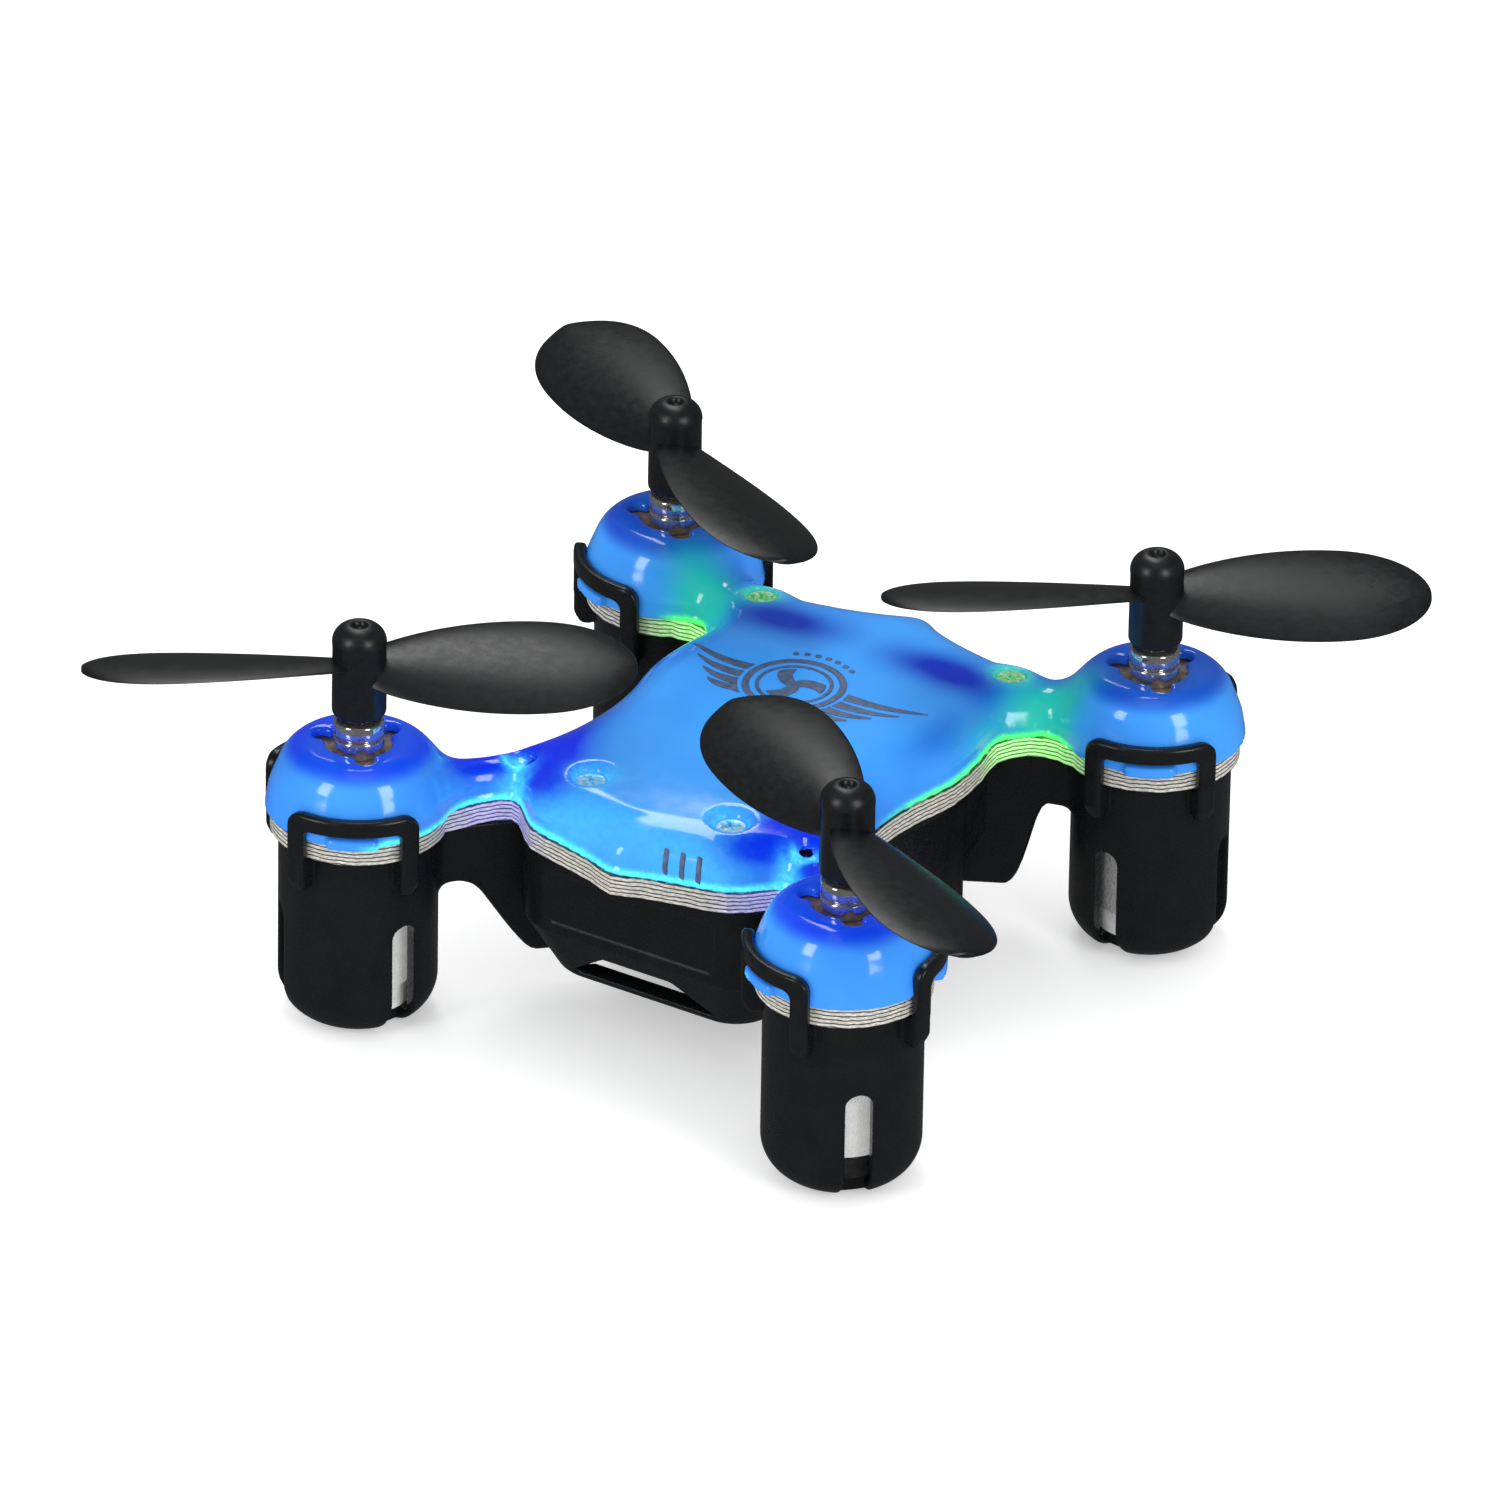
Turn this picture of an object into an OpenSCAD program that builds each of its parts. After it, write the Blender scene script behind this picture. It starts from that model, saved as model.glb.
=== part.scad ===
// Mini palm drone: a quadcopter of palm size with coreless motors.
// Millimetres, +Z up. The origin is the middle of the four motor axes, on the plane of the pod
// bottoms. The nose faces -Y, so the drone's own left side is +X.

/* [Frame] */
// Distance between neighbouring motor axes
motor_spacing = 31.5; // [31.2:0.1:33]
// Outer diameter of a motor pod
pod_d = 8.8; // [8.6:0.1:9.2]
// Height of the board's underside above the pod bottoms
board_z = 11.5; // [11.4:0.1:12.2]
// Thickness of the laminated board
board_t = 1.2; // [1:0.1:1.3]
// How far the board stands out from the pod wall all round
board_lip = 0.45; // [0.4:0.05:0.5]

/* [Shells] */
// Height of the tray's underside above the pod bottoms
tray_z = 3; // [2.6:0.1:3.2]
// Wall thickness of the tray and the pods
wall = 0.9; // [0.8:0.05:1]
// Height of the flat top of the canopy above the board
canopy_h = 2.5; // [2.3:0.1:2.7]
// Height of a motor cap's top above the board
cap_h = 4; // [3.9:0.1:4.2]

/* [Motors] */
// Diameter of a motor can
can_d = 6; // [5.9:0.05:6]
// Diameter of a motor shaft
shaft_d = 0.8; // [0.7:0.05:0.9]
// Radial clearance of the shaft in its bearings
bearing_gap = 0.05; // [0.03:0.01:0.08]

/* [Propellers] */
// Diameter over the blade tips
prop_d = 30.3; // [29:0.1:30.6]
// Diameter of the propeller hub
hub_d = 3; // [2.8:0.1:3.2]
// Widest chord of a blade
chord = 7.2; // [6:0.1:7.6]
// Resting angle of the front right and rear left propellers
rest_angle_a = 35; // [20:1:50]
// Resting angle of the front left and rear right propellers
rest_angle_b = -33; // [-50:1:-20]

/* [Power switch] */
// Travel of the slider
switch_travel = 1.6; // [1:0.1:1.8]

/* [Hidden] */
$fn = 64;
eps = 0.05;

// Corners: [name, side in X, side in Y], the nose is at -Y
CORNERS = [
    ["front_left", 1, -1],
    ["front_right", -1, -1],
    ["rear_left", 1, 1],
    ["rear_right", -1, 1],
];
PER_CORNER = [
    "propeller", "motor_shaft", "motor_coil", "motor_magnet", "motor_boss",
    "motor_can", "motor_end_cap", "motor_leads", "led",
];

// Colours
canopy_blue = "DodgerBlue";
shell_black = [0.07, 0.08, 0.09];
board_grey = [0.66, 0.64, 0.58];
steel = "Silver";
brass = [0.75, 0.62, 0.35];

// Heights
hub_xy = motor_spacing / 2;
board_top = board_z + board_t;
canopy_z = board_top + canopy_h;
cap_z = board_top + cap_h;
board_r = pod_d / 2 + board_lip;

// Motor: the can stands on the pod's floor and stops just under the cap
pod_floor = 1.1;
end_cap_t = 1.3;
can_z0 = pod_floor + end_cap_t;
can_z1 = cap_z - 0.65;
can_t = 0.3;
can_top_t = 0.6;
boss_d = 2.8;
boss_z1 = cap_z + 1.4;
magnet_d = 3.2;
magnet_bore = 1.1;
coil_d = 4.8;
coil_bore = 4;
coil_z0 = can_z0 + 0.7;
coil_hub_t = 0.7;
bearing_r = shaft_d / 2 + bearing_gap;

// Propeller
prop_z0 = boss_z1 + 0.25;
prop_z1 = cap_z + 7.15;
blade_z = cap_z + 4.4;
shaft_z1 = prop_z1 - 1.4;
root_chord = 2.3;
widest_at = 0.62;

// Screws: two behind the nose and two at the rear arm roots
SCREWS = [[4.55, -9.75], [-4.55, -9.75], [8.15, 13.1], [-8.15, 13.1]];
screw_r = 0.4;
screw_head_r = 0.8;
screw_head_t = 0.45;
screw_seat = canopy_z - 0.75;
screw_z0 = board_z - 2.6;
screw_boss_r = 1.15;
screw_post_drop = 3.4;

// Tray: the straight part of its side walls, and the opening in its floor
side_wall = [17.2, 11.4, 7.4];
side_wall_y = 2.5;
floor_opening = [10.4, 18.6, 3];
floor_opening_y = -0.5;

// Opening in the deck over the battery
deck_opening = [14, 20.2, 2];
deck_opening_y = 1.7;

// Battery, held to the board's underside by foam tape
cell = [12.8, 17, 5.6];
cell_pos = [0, 2.1, tray_z + 1.7];
tape_size = [10, 13];

// Power switch and charge socket, both behind the tray's rear wall
switch_size = [6.2, 2.1, 2.4];
switch_pos = [3.6, 11.9];
knob_size = [1.5, 3.4, 0.8];
knob_drop = 2;
socket_size = [4.2, 2.2, 3.2];
socket_pos = [-3.4, 12];

// Arms: direction from the motor axis to the body, and the underside of each arm's web as
// [distance from the motor axis, z], which arches off the pod and drops to the tray's corner
FRONT_ARM = [-6.15, 6.35];
REAR_ARM = [-6.35, -3.15];
FRONT_WEB = [[3.7, 8.1], [5.6, 8], [6.4, 7.5], [9.4, tray_z + 0.2], [13.2, tray_z + 0.1]];
REAR_WEB = [
    [3.7, 8.1], [4.6, 8.4], [5.9, 8.4], [6.3, 7.2], [6.9, 4.4], [7.6, tray_z + 0.1], [10.5, tray_z + 0.1],
];
arm_end_r = 2;

// Half of the board's outline from the nose round the left side to the tail, without the pods.
// Each arm ends in a half circle inside its pod.
HALF_OUTLINE = concat(
    [[0, -14.7], [1.7, -14.1], [4.1, -13.5], [6.4, -12.9], [7.8, -11.6], [9, -10.8], [10.3, -12.2]],
    [[hub_xy - 4.3, -hub_xy + 1.3]],
    arm_end(FRONT_ARM, [hub_xy, -hub_xy]),
    [[hub_xy - 2, -hub_xy + 4.5], [12.4, -10.2], [11.2, -8.8], [10.3, -7], [9.6, -4.6], [9.3, -1.6]],
    [[9.5, 1.2], [10.1, 4.2], [9.9, 7.4], [9.5, 9.6], [10.5, 11.3], [12.1, 11.8]],
    [[hub_xy - 2.3, hub_xy - 4.1]],
    arm_end(REAR_ARM, [hub_xy, hub_xy]),
    [[hub_xy - 4.4, hub_xy + 0.7], [10, 15.8], [8.8, 15.1], [7, 15.3], [4, 15.9], [1.7, 16.7], [0, 17.7]]
);
OUTLINE_STEPS = 2;
OUTLINE = smooth_loop(with_mirror(HALF_OUTLINE), OUTLINE_STEPS);

arm_w = 3;
channel_w = 1.8;
channel_z = board_z - 2.5;
channel_run = [2.6, 6.9];

// Motor pods: angles of the slots and of the retaining clips on the +X side
FRONT_SLOTS = [-45, 75, 200];
REAR_SLOTS = [12, 140, 267];
FRONT_CLIPS = [-120, 30];
REAR_CLIPS = [-60, 105];
pod_round = 2.4;
slot_w = 1.5;
slot_r = 2.5;
slot_top = 6.2;
pod_bore = pod_d - 2 * wall;
collar_z = channel_z + 0.1;
collar_h = 1.2;
clip_span = 84;
clip_r0 = board_r + 0.05;
clip_t = 0.65;
clip_leg = 11.6;
clip_z0 = board_z - 2.1;
clip_z1 = board_top + 1.8;
clip_bar = 1;
tab_span = 46;
notch_angle = -47;

// ---------- functions ----------

// The half outline followed by its mirror image, in order round the loop
function with_mirror(half) = concat(half, [for (i = [len(half) - 2:-1:1]) [-half[i][0], half[i][1]]]);

// A point on the smooth curve through b and c, with a and d as its neighbours
function curve_point(a, b, c, d, t) =
    0.5 * (2 * b + (c - a) * t + (2 * a - 5 * b + 4 * c - d) * t * t + (3 * b - 3 * c + d - a) * t * t * t);

// The half circle that ends an arm, from its right side to its left, seen from the body
function arm_end(arm, hub) =
    let (out = -[arm[0], arm[1]] / norm([arm[0], arm[1]]), left = [-out[1], out[0]])
    [for (a = [-90:45:90]) hub - 0.6 * out + arm_end_r * (cos(a) * out + sin(a) * left)];

// A closed smooth curve through the given points
function smooth_loop(p, steps) =
    let (n = len(p))
    [for (i = [0:n - 1], k = [0:steps - 1])
        curve_point(p[(i + n - 1) % n], p[i], p[(i + 1) % n], p[(i + 2) % n], k / steps)];

// The loop moved inwards by d along its own normals
function inset(p, d) =
    let (n = len(p))
    [for (i = [0:n - 1])
        let (along = p[(i + 1) % n] - p[(i + n - 1) % n])
        p[i] + d * [-along[1], along[0]] / norm(along)];

// Chord of a blade at t, from 0 at the axis to 1 at the tip
function blade_chord(t) =
    t < widest_at
        ? root_chord + (chord - root_chord) * pow(sin(90 * t / widest_at), 0.75)
        : chord * sqrt(1 - pow((t - widest_at) / (1 - widest_at), 2.3));

// Points of one blade section round its edge, as [across, up]
function blade_section(c, t) =
    let (sides = 6, thick = 0.75 - 0.4 * t, camber = 0.06 * c)
    [for (i = [0:2 * sides - 1])
        let (a = 180 * i / sides, s = cos(a))
        [0.5 * c * s, camber * (1 - s * s) + 0.5 * thick * sin(a) * (0.35 + 0.65 * abs(sin(a)))]];

// ---------- helpers ----------

// Puts its children at a corner's motor axis
module at_corner(corner) {
    translate([corner[1] * hub_xy, corner[2] * hub_xy, 0])
        children();
}

// Repeats its children mirrored to the other side of the drone
module both_sides() {
    children();
    mirror([1, 0, 0])
        children();
}

// A ring or disc about Z
module ring(r_out, r_in, z0, z1) {
    translate([0, 0, z0])
        difference() {
            cylinder(r = r_out, h = z1 - z0);
            if (r_in > 0)
                translate([0, 0, -eps])
                    cylinder(r = r_in, h = z1 - z0 + 2 * eps);
        }
}

// A box centred in X and Y on pos, with its underside at pos z
module block(size, pos) {
    translate([pos[0] - size[0] / 2, pos[1] - size[1] / 2, pos[2]])
        cube(size);
}

// A slab of the board's outline, moved inwards by d
module outline_slab(d, z0, z1) {
    translate([0, 0, z0])
        linear_extrude(z1 - z0)
            polygon(inset(OUTLINE, d));
}

// A closed solid through loops of points, which run round it one above the other
module skin(loops) {
    n = len(loops[0]);
    last = len(loops) - 1;
    faces = concat(
        [for (k = [0:last - 1], i = [0:n - 1])
            let (a = k * n + i, b = k * n + (i + 1) % n)
            each [[b, a, a + n], [b, a + n, b + n]]],
        [[for (i = [0:n - 1]) i]],
        [[for (i = [n - 1:-1:0]) last * n + i]]
    );
    polyhedron(points = [for (loop = loops) each loop], faces = faces);
}

// A solid over the board's outline, from steps of [inset, z]. The outline isn't convex, so its
// flat ends are left to resize() to divide.
module outline_skin(steps) {
    resize([0, 0, 0])
        skin([for (step = steps) [for (p = inset(OUTLINE, step[0])) [p[0], p[1], step[1]]]]);
}

// A loop round a rectangle with rounded corners, at height z
function rounded_loop(half_w, y0, y1, r, z, per_corner = 7) =
    [for (q = [0:3], k = [0:per_corner - 1])
        let (a = 90 * (q + k / (per_corner - 1)))
        [
            (q == 0 || q == 3 ? half_w - r : r - half_w) + r * cos(a),
            (q < 2 ? y1 - r : y0 + r) + r * sin(a),
            z,
        ]];

// A round wire through the given points, with the direction across its bends
module wire(points, d, across) {
    sides = 8;
    last = len(points) - 1;
    skin([for (i = [0:last])
        let (
            run = points[min(i + 1, last)] - points[max(i - 1, 0)],
            up = cross(run, across) / norm(cross(run, across))
        )
        [for (k = [0:sides - 1]) points[i] + d / 2 * (cos(360 * k / sides) * across + sin(360 * k / sides) * up)]]);
}

// ---------- bottom shell ----------

// The tray's outer form, or its hollow when grown is negative
module tray_form(grown, z_low, z_high) {
    knee_z = 6.6;
    skin([
        rounded_loop(6.6 + grown, -10.9 - grown, 12 + grown, 2.4 + grown, z_low),
        rounded_loop(8.4 + grown, -12.6 - grown, 14 + grown, 3 + grown, knee_z),
        rounded_loop(8.4 + grown, -12.6 - grown, 14 + grown, 3 + grown, z_high),
    ]);
}

// The slanting window under the nose
module nose_window() {
    translate([0, -9.4, 0])
        rotate([90, 0, 0])
            linear_extrude(5)
                polygon([[-4.6, 3.7], [-2.2, 5.4], [2.2, 5.4], [4.6, 3.7]]);
}

// A motor pod with a rounded foot, about Z
module pod_body() {
    rotate_extrude() {
        translate([0, pod_round])
            square([pod_d / 2, board_z - pod_round]);
        square([pod_d / 2 - pod_round, pod_round + eps]);
        intersection() {
            translate([pod_d / 2 - pod_round, pod_round])
                circle(r = pod_round);
            square([pod_d / 2, 2 * pod_round]);
        }
    }
}

// What is cut out of a pod: the motor's bore and the slots
module pod_hollow(slots) {
    translate([0, 0, pod_floor])
        cylinder(d = pod_bore, h = collar_z - pod_floor);
    translate([0, 0, collar_z + collar_h])
        cylinder(d = pod_bore, h = board_z - collar_z - collar_h + eps);
    translate([0, 0, pod_floor + 1])
        cylinder(d = can_d + 0.06, h = 40);
    for (a = slots)
        rotate([0, 0, a]) {
            translate([slot_r, -slot_w / 2, -eps])
                cube([4, slot_w, slot_top + eps]);
            translate([slot_r, 0, slot_top])
                rotate([0, 90, 0])
                    cylinder(d = slot_w, h = 4);
        }
}

// One retaining clip: two legs on the pod and a bar over the board, round the pod's axis
module clip(a) {
    opening = clip_span - 2 * clip_leg;
    difference() {
        rotate([0, 0, a - clip_span / 2])
            rotate_extrude(angle = clip_span)
                polygon([
                    [pod_d / 2 - 0.3, clip_z0 + 0.5], [clip_r0 + clip_t - 0.2, clip_z0], [clip_r0 + clip_t, clip_z0 + 0.2],
                    [clip_r0 + clip_t, clip_z1], [clip_r0, clip_z1], [clip_r0, board_z], [pod_d / 2 - 0.3, board_z],
                ]);
        rotate([0, 0, a - opening / 2])
            rotate_extrude(angle = opening)
                translate([pod_d / 2 - 1, clip_z0 - 1])
                    square([3, clip_z1 - clip_bar - clip_z0 + 1]);
    }
}

// The web that joins a pod to the tray, in the direction of the arm
module arm_web(arm, under) {
    far = under[len(under) - 1][0];
    rotate([0, 0, atan2(arm[1], arm[0])])
        translate([0, arm_w / 2, 0])
            rotate([90, 0, 0])
                linear_extrude(arm_w)
                    polygon(concat(under, [[far, board_z], [under[0][0], board_z]]));
}

// The lead channel along an arm, open towards the board
module arm_channel(arm) {
    rotate([0, 0, atan2(arm[1], arm[0])])
        translate([channel_run[0], -channel_w / 2, channel_z])
            cube([channel_run[1] - channel_run[0], channel_w, 5]);
}

module bottom_shell() {
    color(shell_black)
        difference() {
            union() {
                outline_slab(0.6, board_z - wall, board_z);
                tray_form(0, tray_z, board_z);
                block(side_wall, [0, side_wall_y, tray_z + 0.1]);
                both_sides()
                    for (end = [-1, 1])
                        translate([hub_xy, end * hub_xy, 0])
                            pod_and_arm(end);
                screw_posts(board_z);
            }
            difference() {
                tray_form(-wall, tray_z + wall, board_z - wall);
                screw_posts(board_z + 1);
            }
            block(deck_opening, [0, deck_opening_y, board_z - 1]);
            part_pocket(switch_size, switch_pos);
            part_pocket(socket_size, socket_pos);
            block(floor_opening, [0, floor_opening_y, tray_z - 1]);
            nose_window();
            both_sides()
                for (end = [-1, 1])
                    translate([hub_xy, end * hub_xy, 0]) {
                        pod_hollow(end < 0 ? FRONT_SLOTS : REAR_SLOTS);
                        arm_channel(end < 0 ? FRONT_ARM : REAR_ARM);
                    }
            block([knob_size[0] + switch_travel + 0.4, 3, 1.2], [switch_pos[0], 14, board_z - knob_drop - 0.2]);
            block([socket_size[0] - 1, 3, 1.9], [socket_pos[0], 14, board_z - 3]);
            for (p = SCREWS)
                translate([p[0], p[1], screw_z0 - 0.3])
                    cylinder(r = screw_r, h = 5);
        }
}

// Room for a part that hangs from the board's underside
module part_pocket(size, pos) {
    block(size + [0.1, 0.1, 1], [pos[0], pos[1], board_z - size[2] - 0.1]);
}

// The four posts that take the screws, under the deck
module screw_posts(top) {
    for (p = SCREWS)
        translate([p[0], p[1], board_z - screw_post_drop])
            cylinder(r = screw_boss_r, h = top - board_z + screw_post_drop);
}

// A pod with its clips and its arm, about its own motor axis, on the +X side
module pod_and_arm(end) {
    pod_body();
    arm_web(end < 0 ? FRONT_ARM : REAR_ARM, end < 0 ? FRONT_WEB : REAR_WEB);
    for (a = end < 0 ? FRONT_CLIPS : REAR_CLIPS)
        clip(a);
}

// ---------- board ----------

module main_board() {
    color(board_grey)
        difference() {
            union() {
                outline_slab(0, board_z, board_top);
                for (corner = CORNERS)
                    at_corner(corner)
                        ring(board_r, 0, board_z, board_top);
            }
            for (corner = CORNERS)
                at_corner(corner)
                    translate([0, 0, board_z - 1])
                        cylinder(d = can_d + 0.3, h = 4);
            for (p = SCREWS)
                translate([p[0], p[1], board_z - 1])
                    cylinder(r = screw_r + 0.15, h = 4);
        }
}

// ---------- canopy ----------

// The outside of a motor cap, about its own axis
module cap_body() {
    foot_r = board_r - 0.25;
    crown_r = 1.2;
    top_r = foot_r - 0.6 - crown_r;
    rotate_extrude()
        polygon(concat(
            [[0, board_top], [foot_r, board_top], [foot_r, board_top + 0.9]],
            [for (a = [0:22.5:90]) [top_r + crown_r * cos(a), cap_z - crown_r + crown_r * sin(a)]],
            [[0, cap_z]]
        ));
}

// The opening in the top of a motor cap, with three notches
module cap_opening() {
    translate([0, 0, board_top - 1])
        cylinder(d = can_d + 0.2, h = can_z1 + 0.05 - board_top + 1);
    translate([0, 0, board_top])
        cylinder(r = 2.1, h = 6);
    for (a = [0:120:240])
        rotate([0, 0, a + notch_angle])
            translate([2.15, 0, board_top])
                cylinder(r = 0.55, h = 6);
}

// A retaining tab of the canopy, which lies on the board inside a clip
module clip_tab(a) {
    rotate([0, 0, a - tab_span / 2])
        rotate_extrude(angle = tab_span)
            translate([4, board_top])
                square([clip_r0 + clip_t - 4, clip_z1 - clip_bar - board_top - 0.1]);
}

module top_shell() {
    color(canopy_blue, 0.85)
        difference() {
            union() {
                canopy_skin(0.2, 0.7);
                for (p = SCREWS)
                    translate([p[0], p[1], board_top])
                        cylinder(r = screw_boss_r, h = canopy_h - 0.3);
                for (corner = CORNERS)
                    at_corner(corner)
                        cap_body();
                both_sides()
                    for (end = [-1, 1], a = end < 0 ? FRONT_CLIPS : REAR_CLIPS)
                        translate([hub_xy, end * hub_xy, 0])
                            clip_tab(a);
            }
            for (corner = CORNERS)
                at_corner(corner)
                    cap_opening();
            for (p = SCREWS)
                translate([p[0], p[1], 0]) {
                    cylinder(r = screw_r + 0.1, h = 30);
                    translate([0, 0, screw_seat])
                        cylinder(r = screw_head_r + 0.1, h = 5);
                }
        }
}

// The hollow body of the canopy without its motor caps
module canopy_skin(rim, thick) {
    difference() {
        outline_skin([
            [rim, board_top], [rim + 0.05, board_top + 0.6],
            [rim + 0.35, canopy_z - 0.85], [rim + 1.1, canopy_z],
        ]);
        outline_skin([
            [rim + thick, board_top - 0.5], [rim + thick + 0.05, board_top + 0.7],
            [rim + thick + 0.4, canopy_z - thick],
        ]);
    }
}

module shell_screws() {
    color(steel)
        for (p = SCREWS)
            translate([p[0], p[1], 0])
                difference() {
                    union() {
                        ring(screw_r, 0, screw_z0, screw_seat + eps);
                        ring(screw_head_r, 0, screw_seat, screw_seat + screw_head_t);
                    }
                    for (a = [45, 135])
                        rotate([0, 0, a])
                            block([1.1, 0.22, 1], [0, 0, screw_seat + 0.2]);
                }
}

// ---------- battery ----------

module battery_cell() {
    r = 1;
    color([0.72, 0.74, 0.76])
        translate([cell_pos[0], cell_pos[1] - cell[1] / 2, cell_pos[2]])
            rotate([-90, 0, 0])
                linear_extrude(cell[1])
                    translate([-cell[0] / 2 + r, -cell[2] + r])
                        offset(r = r, $fn = 32)
                            square([cell[0] - 2 * r, cell[2] - 2 * r]);
}

module battery_tape() {
    z0 = cell_pos[2] + cell[2];
    color("WhiteSmoke")
        block([tape_size[0], tape_size[1], board_z - z0], [0, cell_pos[1], z0]);
}

module battery_leads() {
    y0 = cell_pos[1] - cell[1] / 2;
    z0 = cell_pos[2] + cell[2] - 1.6;
    for (side = [-1, 1])
        color(side < 0 ? "Firebrick" : "Black")
            wire([
                [side * 1.4, y0, z0], [side * 1.4, y0 - 0.8, z0], [side * 1.4, y0 - 1.3, z0 + 0.3],
                [side * 1.4, y0 - 1.6, z0 + 0.8], [side * 1.4, y0 - 1.6, board_z],
            ], 0.5, [1, 0, 0]);
}

// ---------- parts on the board ----------

module flight_chip() {
    color([0.12, 0.12, 0.13])
        block([4, 4, 0.85], [0, 2, board_top]);
}

module gyro_chip() {
    color([0.15, 0.15, 0.16])
        block([3, 3, 0.9], [0, -3.5, board_top]);
}

module radio_chip() {
    color([0.12, 0.12, 0.13])
        block([3, 3, 0.8], [0, 8.4, board_top]);
}

module crystal() {
    color(steel)
        block([3.2, 1.6, 0.7], [4.4, 8.4, board_top]);
}

module motor_drivers() {
    color([0.12, 0.12, 0.13])
        both_sides() {
            for (y = [-6.4, 10.6])
                block([1.3, 2.9, 1], [6.6, y, board_top]);
        }
}

module small_parts() {
    color([0.7, 0.6, 0.45])
        both_sides() {
            for (y = [-2.2, 0, 2.2, 4.4])
                block([1.6, 0.8, 0.6], [4.6, y, board_top]);
        }
}

module antenna() {
    color([0.85, 0.83, 0.78])
        block([5, 2, 1], [0, 12.8, board_top]);
}

// ---------- power switch and charge socket ----------

module power_switch_case() {
    color(steel)
        difference() {
            block(switch_size, [switch_pos[0], switch_pos[1], board_z - switch_size[2]]);
            block(
                [knob_size[0] + switch_travel + 0.2, 2, knob_size[2] + 0.2],
                [switch_pos[0], switch_pos[1] + 0.6, board_z - knob_drop - 0.1]
            );
        }
}

// The slider rests at the off end of its slot
module power_switch_slider() {
    x0 = switch_pos[0] - switch_travel / 2;
    y0 = switch_pos[1] + switch_size[1] / 2 - 1;
    color([0.1, 0.1, 0.1])
        block(knob_size, [x0, y0 + knob_size[1] / 2, board_z - knob_drop]);
}

module charge_socket() {
    color("White")
        difference() {
            block(socket_size, [socket_pos[0], socket_pos[1], board_z - socket_size[2]]);
            block([socket_size[0] - 1.2, 2.4, 1.7], [socket_pos[0], socket_pos[1] + 0.7, board_z - 2.9]);
        }
}

// ---------- per corner ----------

module motor_can(corner) {
    color(steel)
        at_corner(corner)
            difference() {
                ring(can_d / 2, 0, can_z0, can_z1);
                ring(can_d / 2 - can_t, 0, can_z0 - 1, can_z1 - can_top_t);
                ring(1, 0, can_z0, can_z1 + 1);
            }
}

module motor_boss(corner) {
    color("Gainsboro")
        at_corner(corner)
            difference() {
                union() {
                    ring(boss_d / 2, 0, can_z1, boss_z1 - 0.5);
                    ring(boss_d / 2 - 0.3, 0, boss_z1 - 0.5, boss_z1);
                    ring(1, 0, can_z1 - can_top_t, can_z1 + eps);
                }
                translate([0, 0, can_z1 - 2])
                    cylinder(r = bearing_r, h = 6);
            }
}

module motor_magnet(corner) {
    color([0.35, 0.35, 0.37])
        at_corner(corner)
            ring(magnet_d / 2, magnet_bore / 2, coil_z0 + coil_hub_t + 0.6, can_z1 - can_top_t);
}

module motor_end_cap(corner) {
    color(corner[1] * corner[2] > 0 ? "White" : [0.15, 0.15, 0.15])
        at_corner(corner)
            ring(can_d / 2, bearing_r, pod_floor, can_z0);
}

module motor_coil(corner) {
    color(brass)
        at_corner(corner)
            difference() {
                ring(coil_d / 2, shaft_d / 2, coil_z0, can_z1 - can_top_t - 0.4);
                ring(coil_bore / 2, 0, coil_z0 + coil_hub_t, can_z1);
            }
}

module motor_shaft(corner) {
    color("LightGrey")
        at_corner(corner)
            ring(shaft_d / 2, 0, pod_floor + 0.4, shaft_z1);
}

// Two leads from the end cap, up the pod and along the arm to the board
module motor_leads(corner) {
    arm = corner[2] < 0 ? FRONT_ARM : REAR_ARM;
    away = can_d / 2 + 0.26;
    rise_z = channel_z + 0.5;
    at_corner(corner)
        mirror([corner[1] < 0 ? 1 : 0, 0, 0])
            rotate([0, 0, atan2(arm[1], arm[0])])
                for (side = [-1, 1])
                    color(side < 0 ? "Firebrick" : "RoyalBlue")
                        wire([
                            [can_d / 2 - eps, side * 0.3, pod_floor + 0.6], [away, side * 0.3, pod_floor + 0.9],
                            [away, side * 0.3, rise_z - 0.3], [away + 0.3, side * 0.3, rise_z],
                            [5.8, side * 0.3, rise_z + 0.1], [6.3, side * 0.3, rise_z + 0.5],
                            [6.4, side * 0.3, board_z],
                        ], 0.36, [0, 1, 0]);
}

module led(corner) {
    place = corner[2] < 0 ? [9.2, -8.9] : [10.5, 13.1];
    color(corner[2] < 0 ? "DeepSkyBlue" : "Lime")
        block([1.6, 0.8, 0.65], [corner[1] * place[0], place[1], board_top]);
}

// One blade along +X, its leading edge on the side that spin gives
module blade(spin) {
    sections = 16;
    r0 = 0.3;
    skin([for (k = [0:sections - 1])
        let (
            t = min(0.997, sin(90 * k / (sections - 1))),
            r = r0 + (prop_d / 2 - r0) * t,
            pitch = spin * (21 - 8 * t)
        )
        [for (p = blade_section(blade_chord(t), t))
            [r, p[0] * cos(pitch) - p[1] * sin(pitch), blade_z + p[0] * sin(pitch) + p[1] * cos(pitch)]]]);
}

// The hub's outer form, with a domed top and a chamfered foot
module prop_hub() {
    rotate_extrude() {
        polygon([
            [0, prop_z0], [hub_d / 2 - 0.25, prop_z0], [hub_d / 2, prop_z0 + 0.35],
            [hub_d / 2, prop_z1 - 1], [0, prop_z1 - 1],
        ]);
        translate([0, prop_z1 - 1 - eps])
            square([hub_d / 2 - 1, 1 + eps]);
        intersection() {
            translate([hub_d / 2 - 1, prop_z1 - 1])
                circle(r = 1);
            translate([0, prop_z1 - 1 - eps])
                square([hub_d, 1 + 2 * eps]);
        }
    }
}

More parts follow.
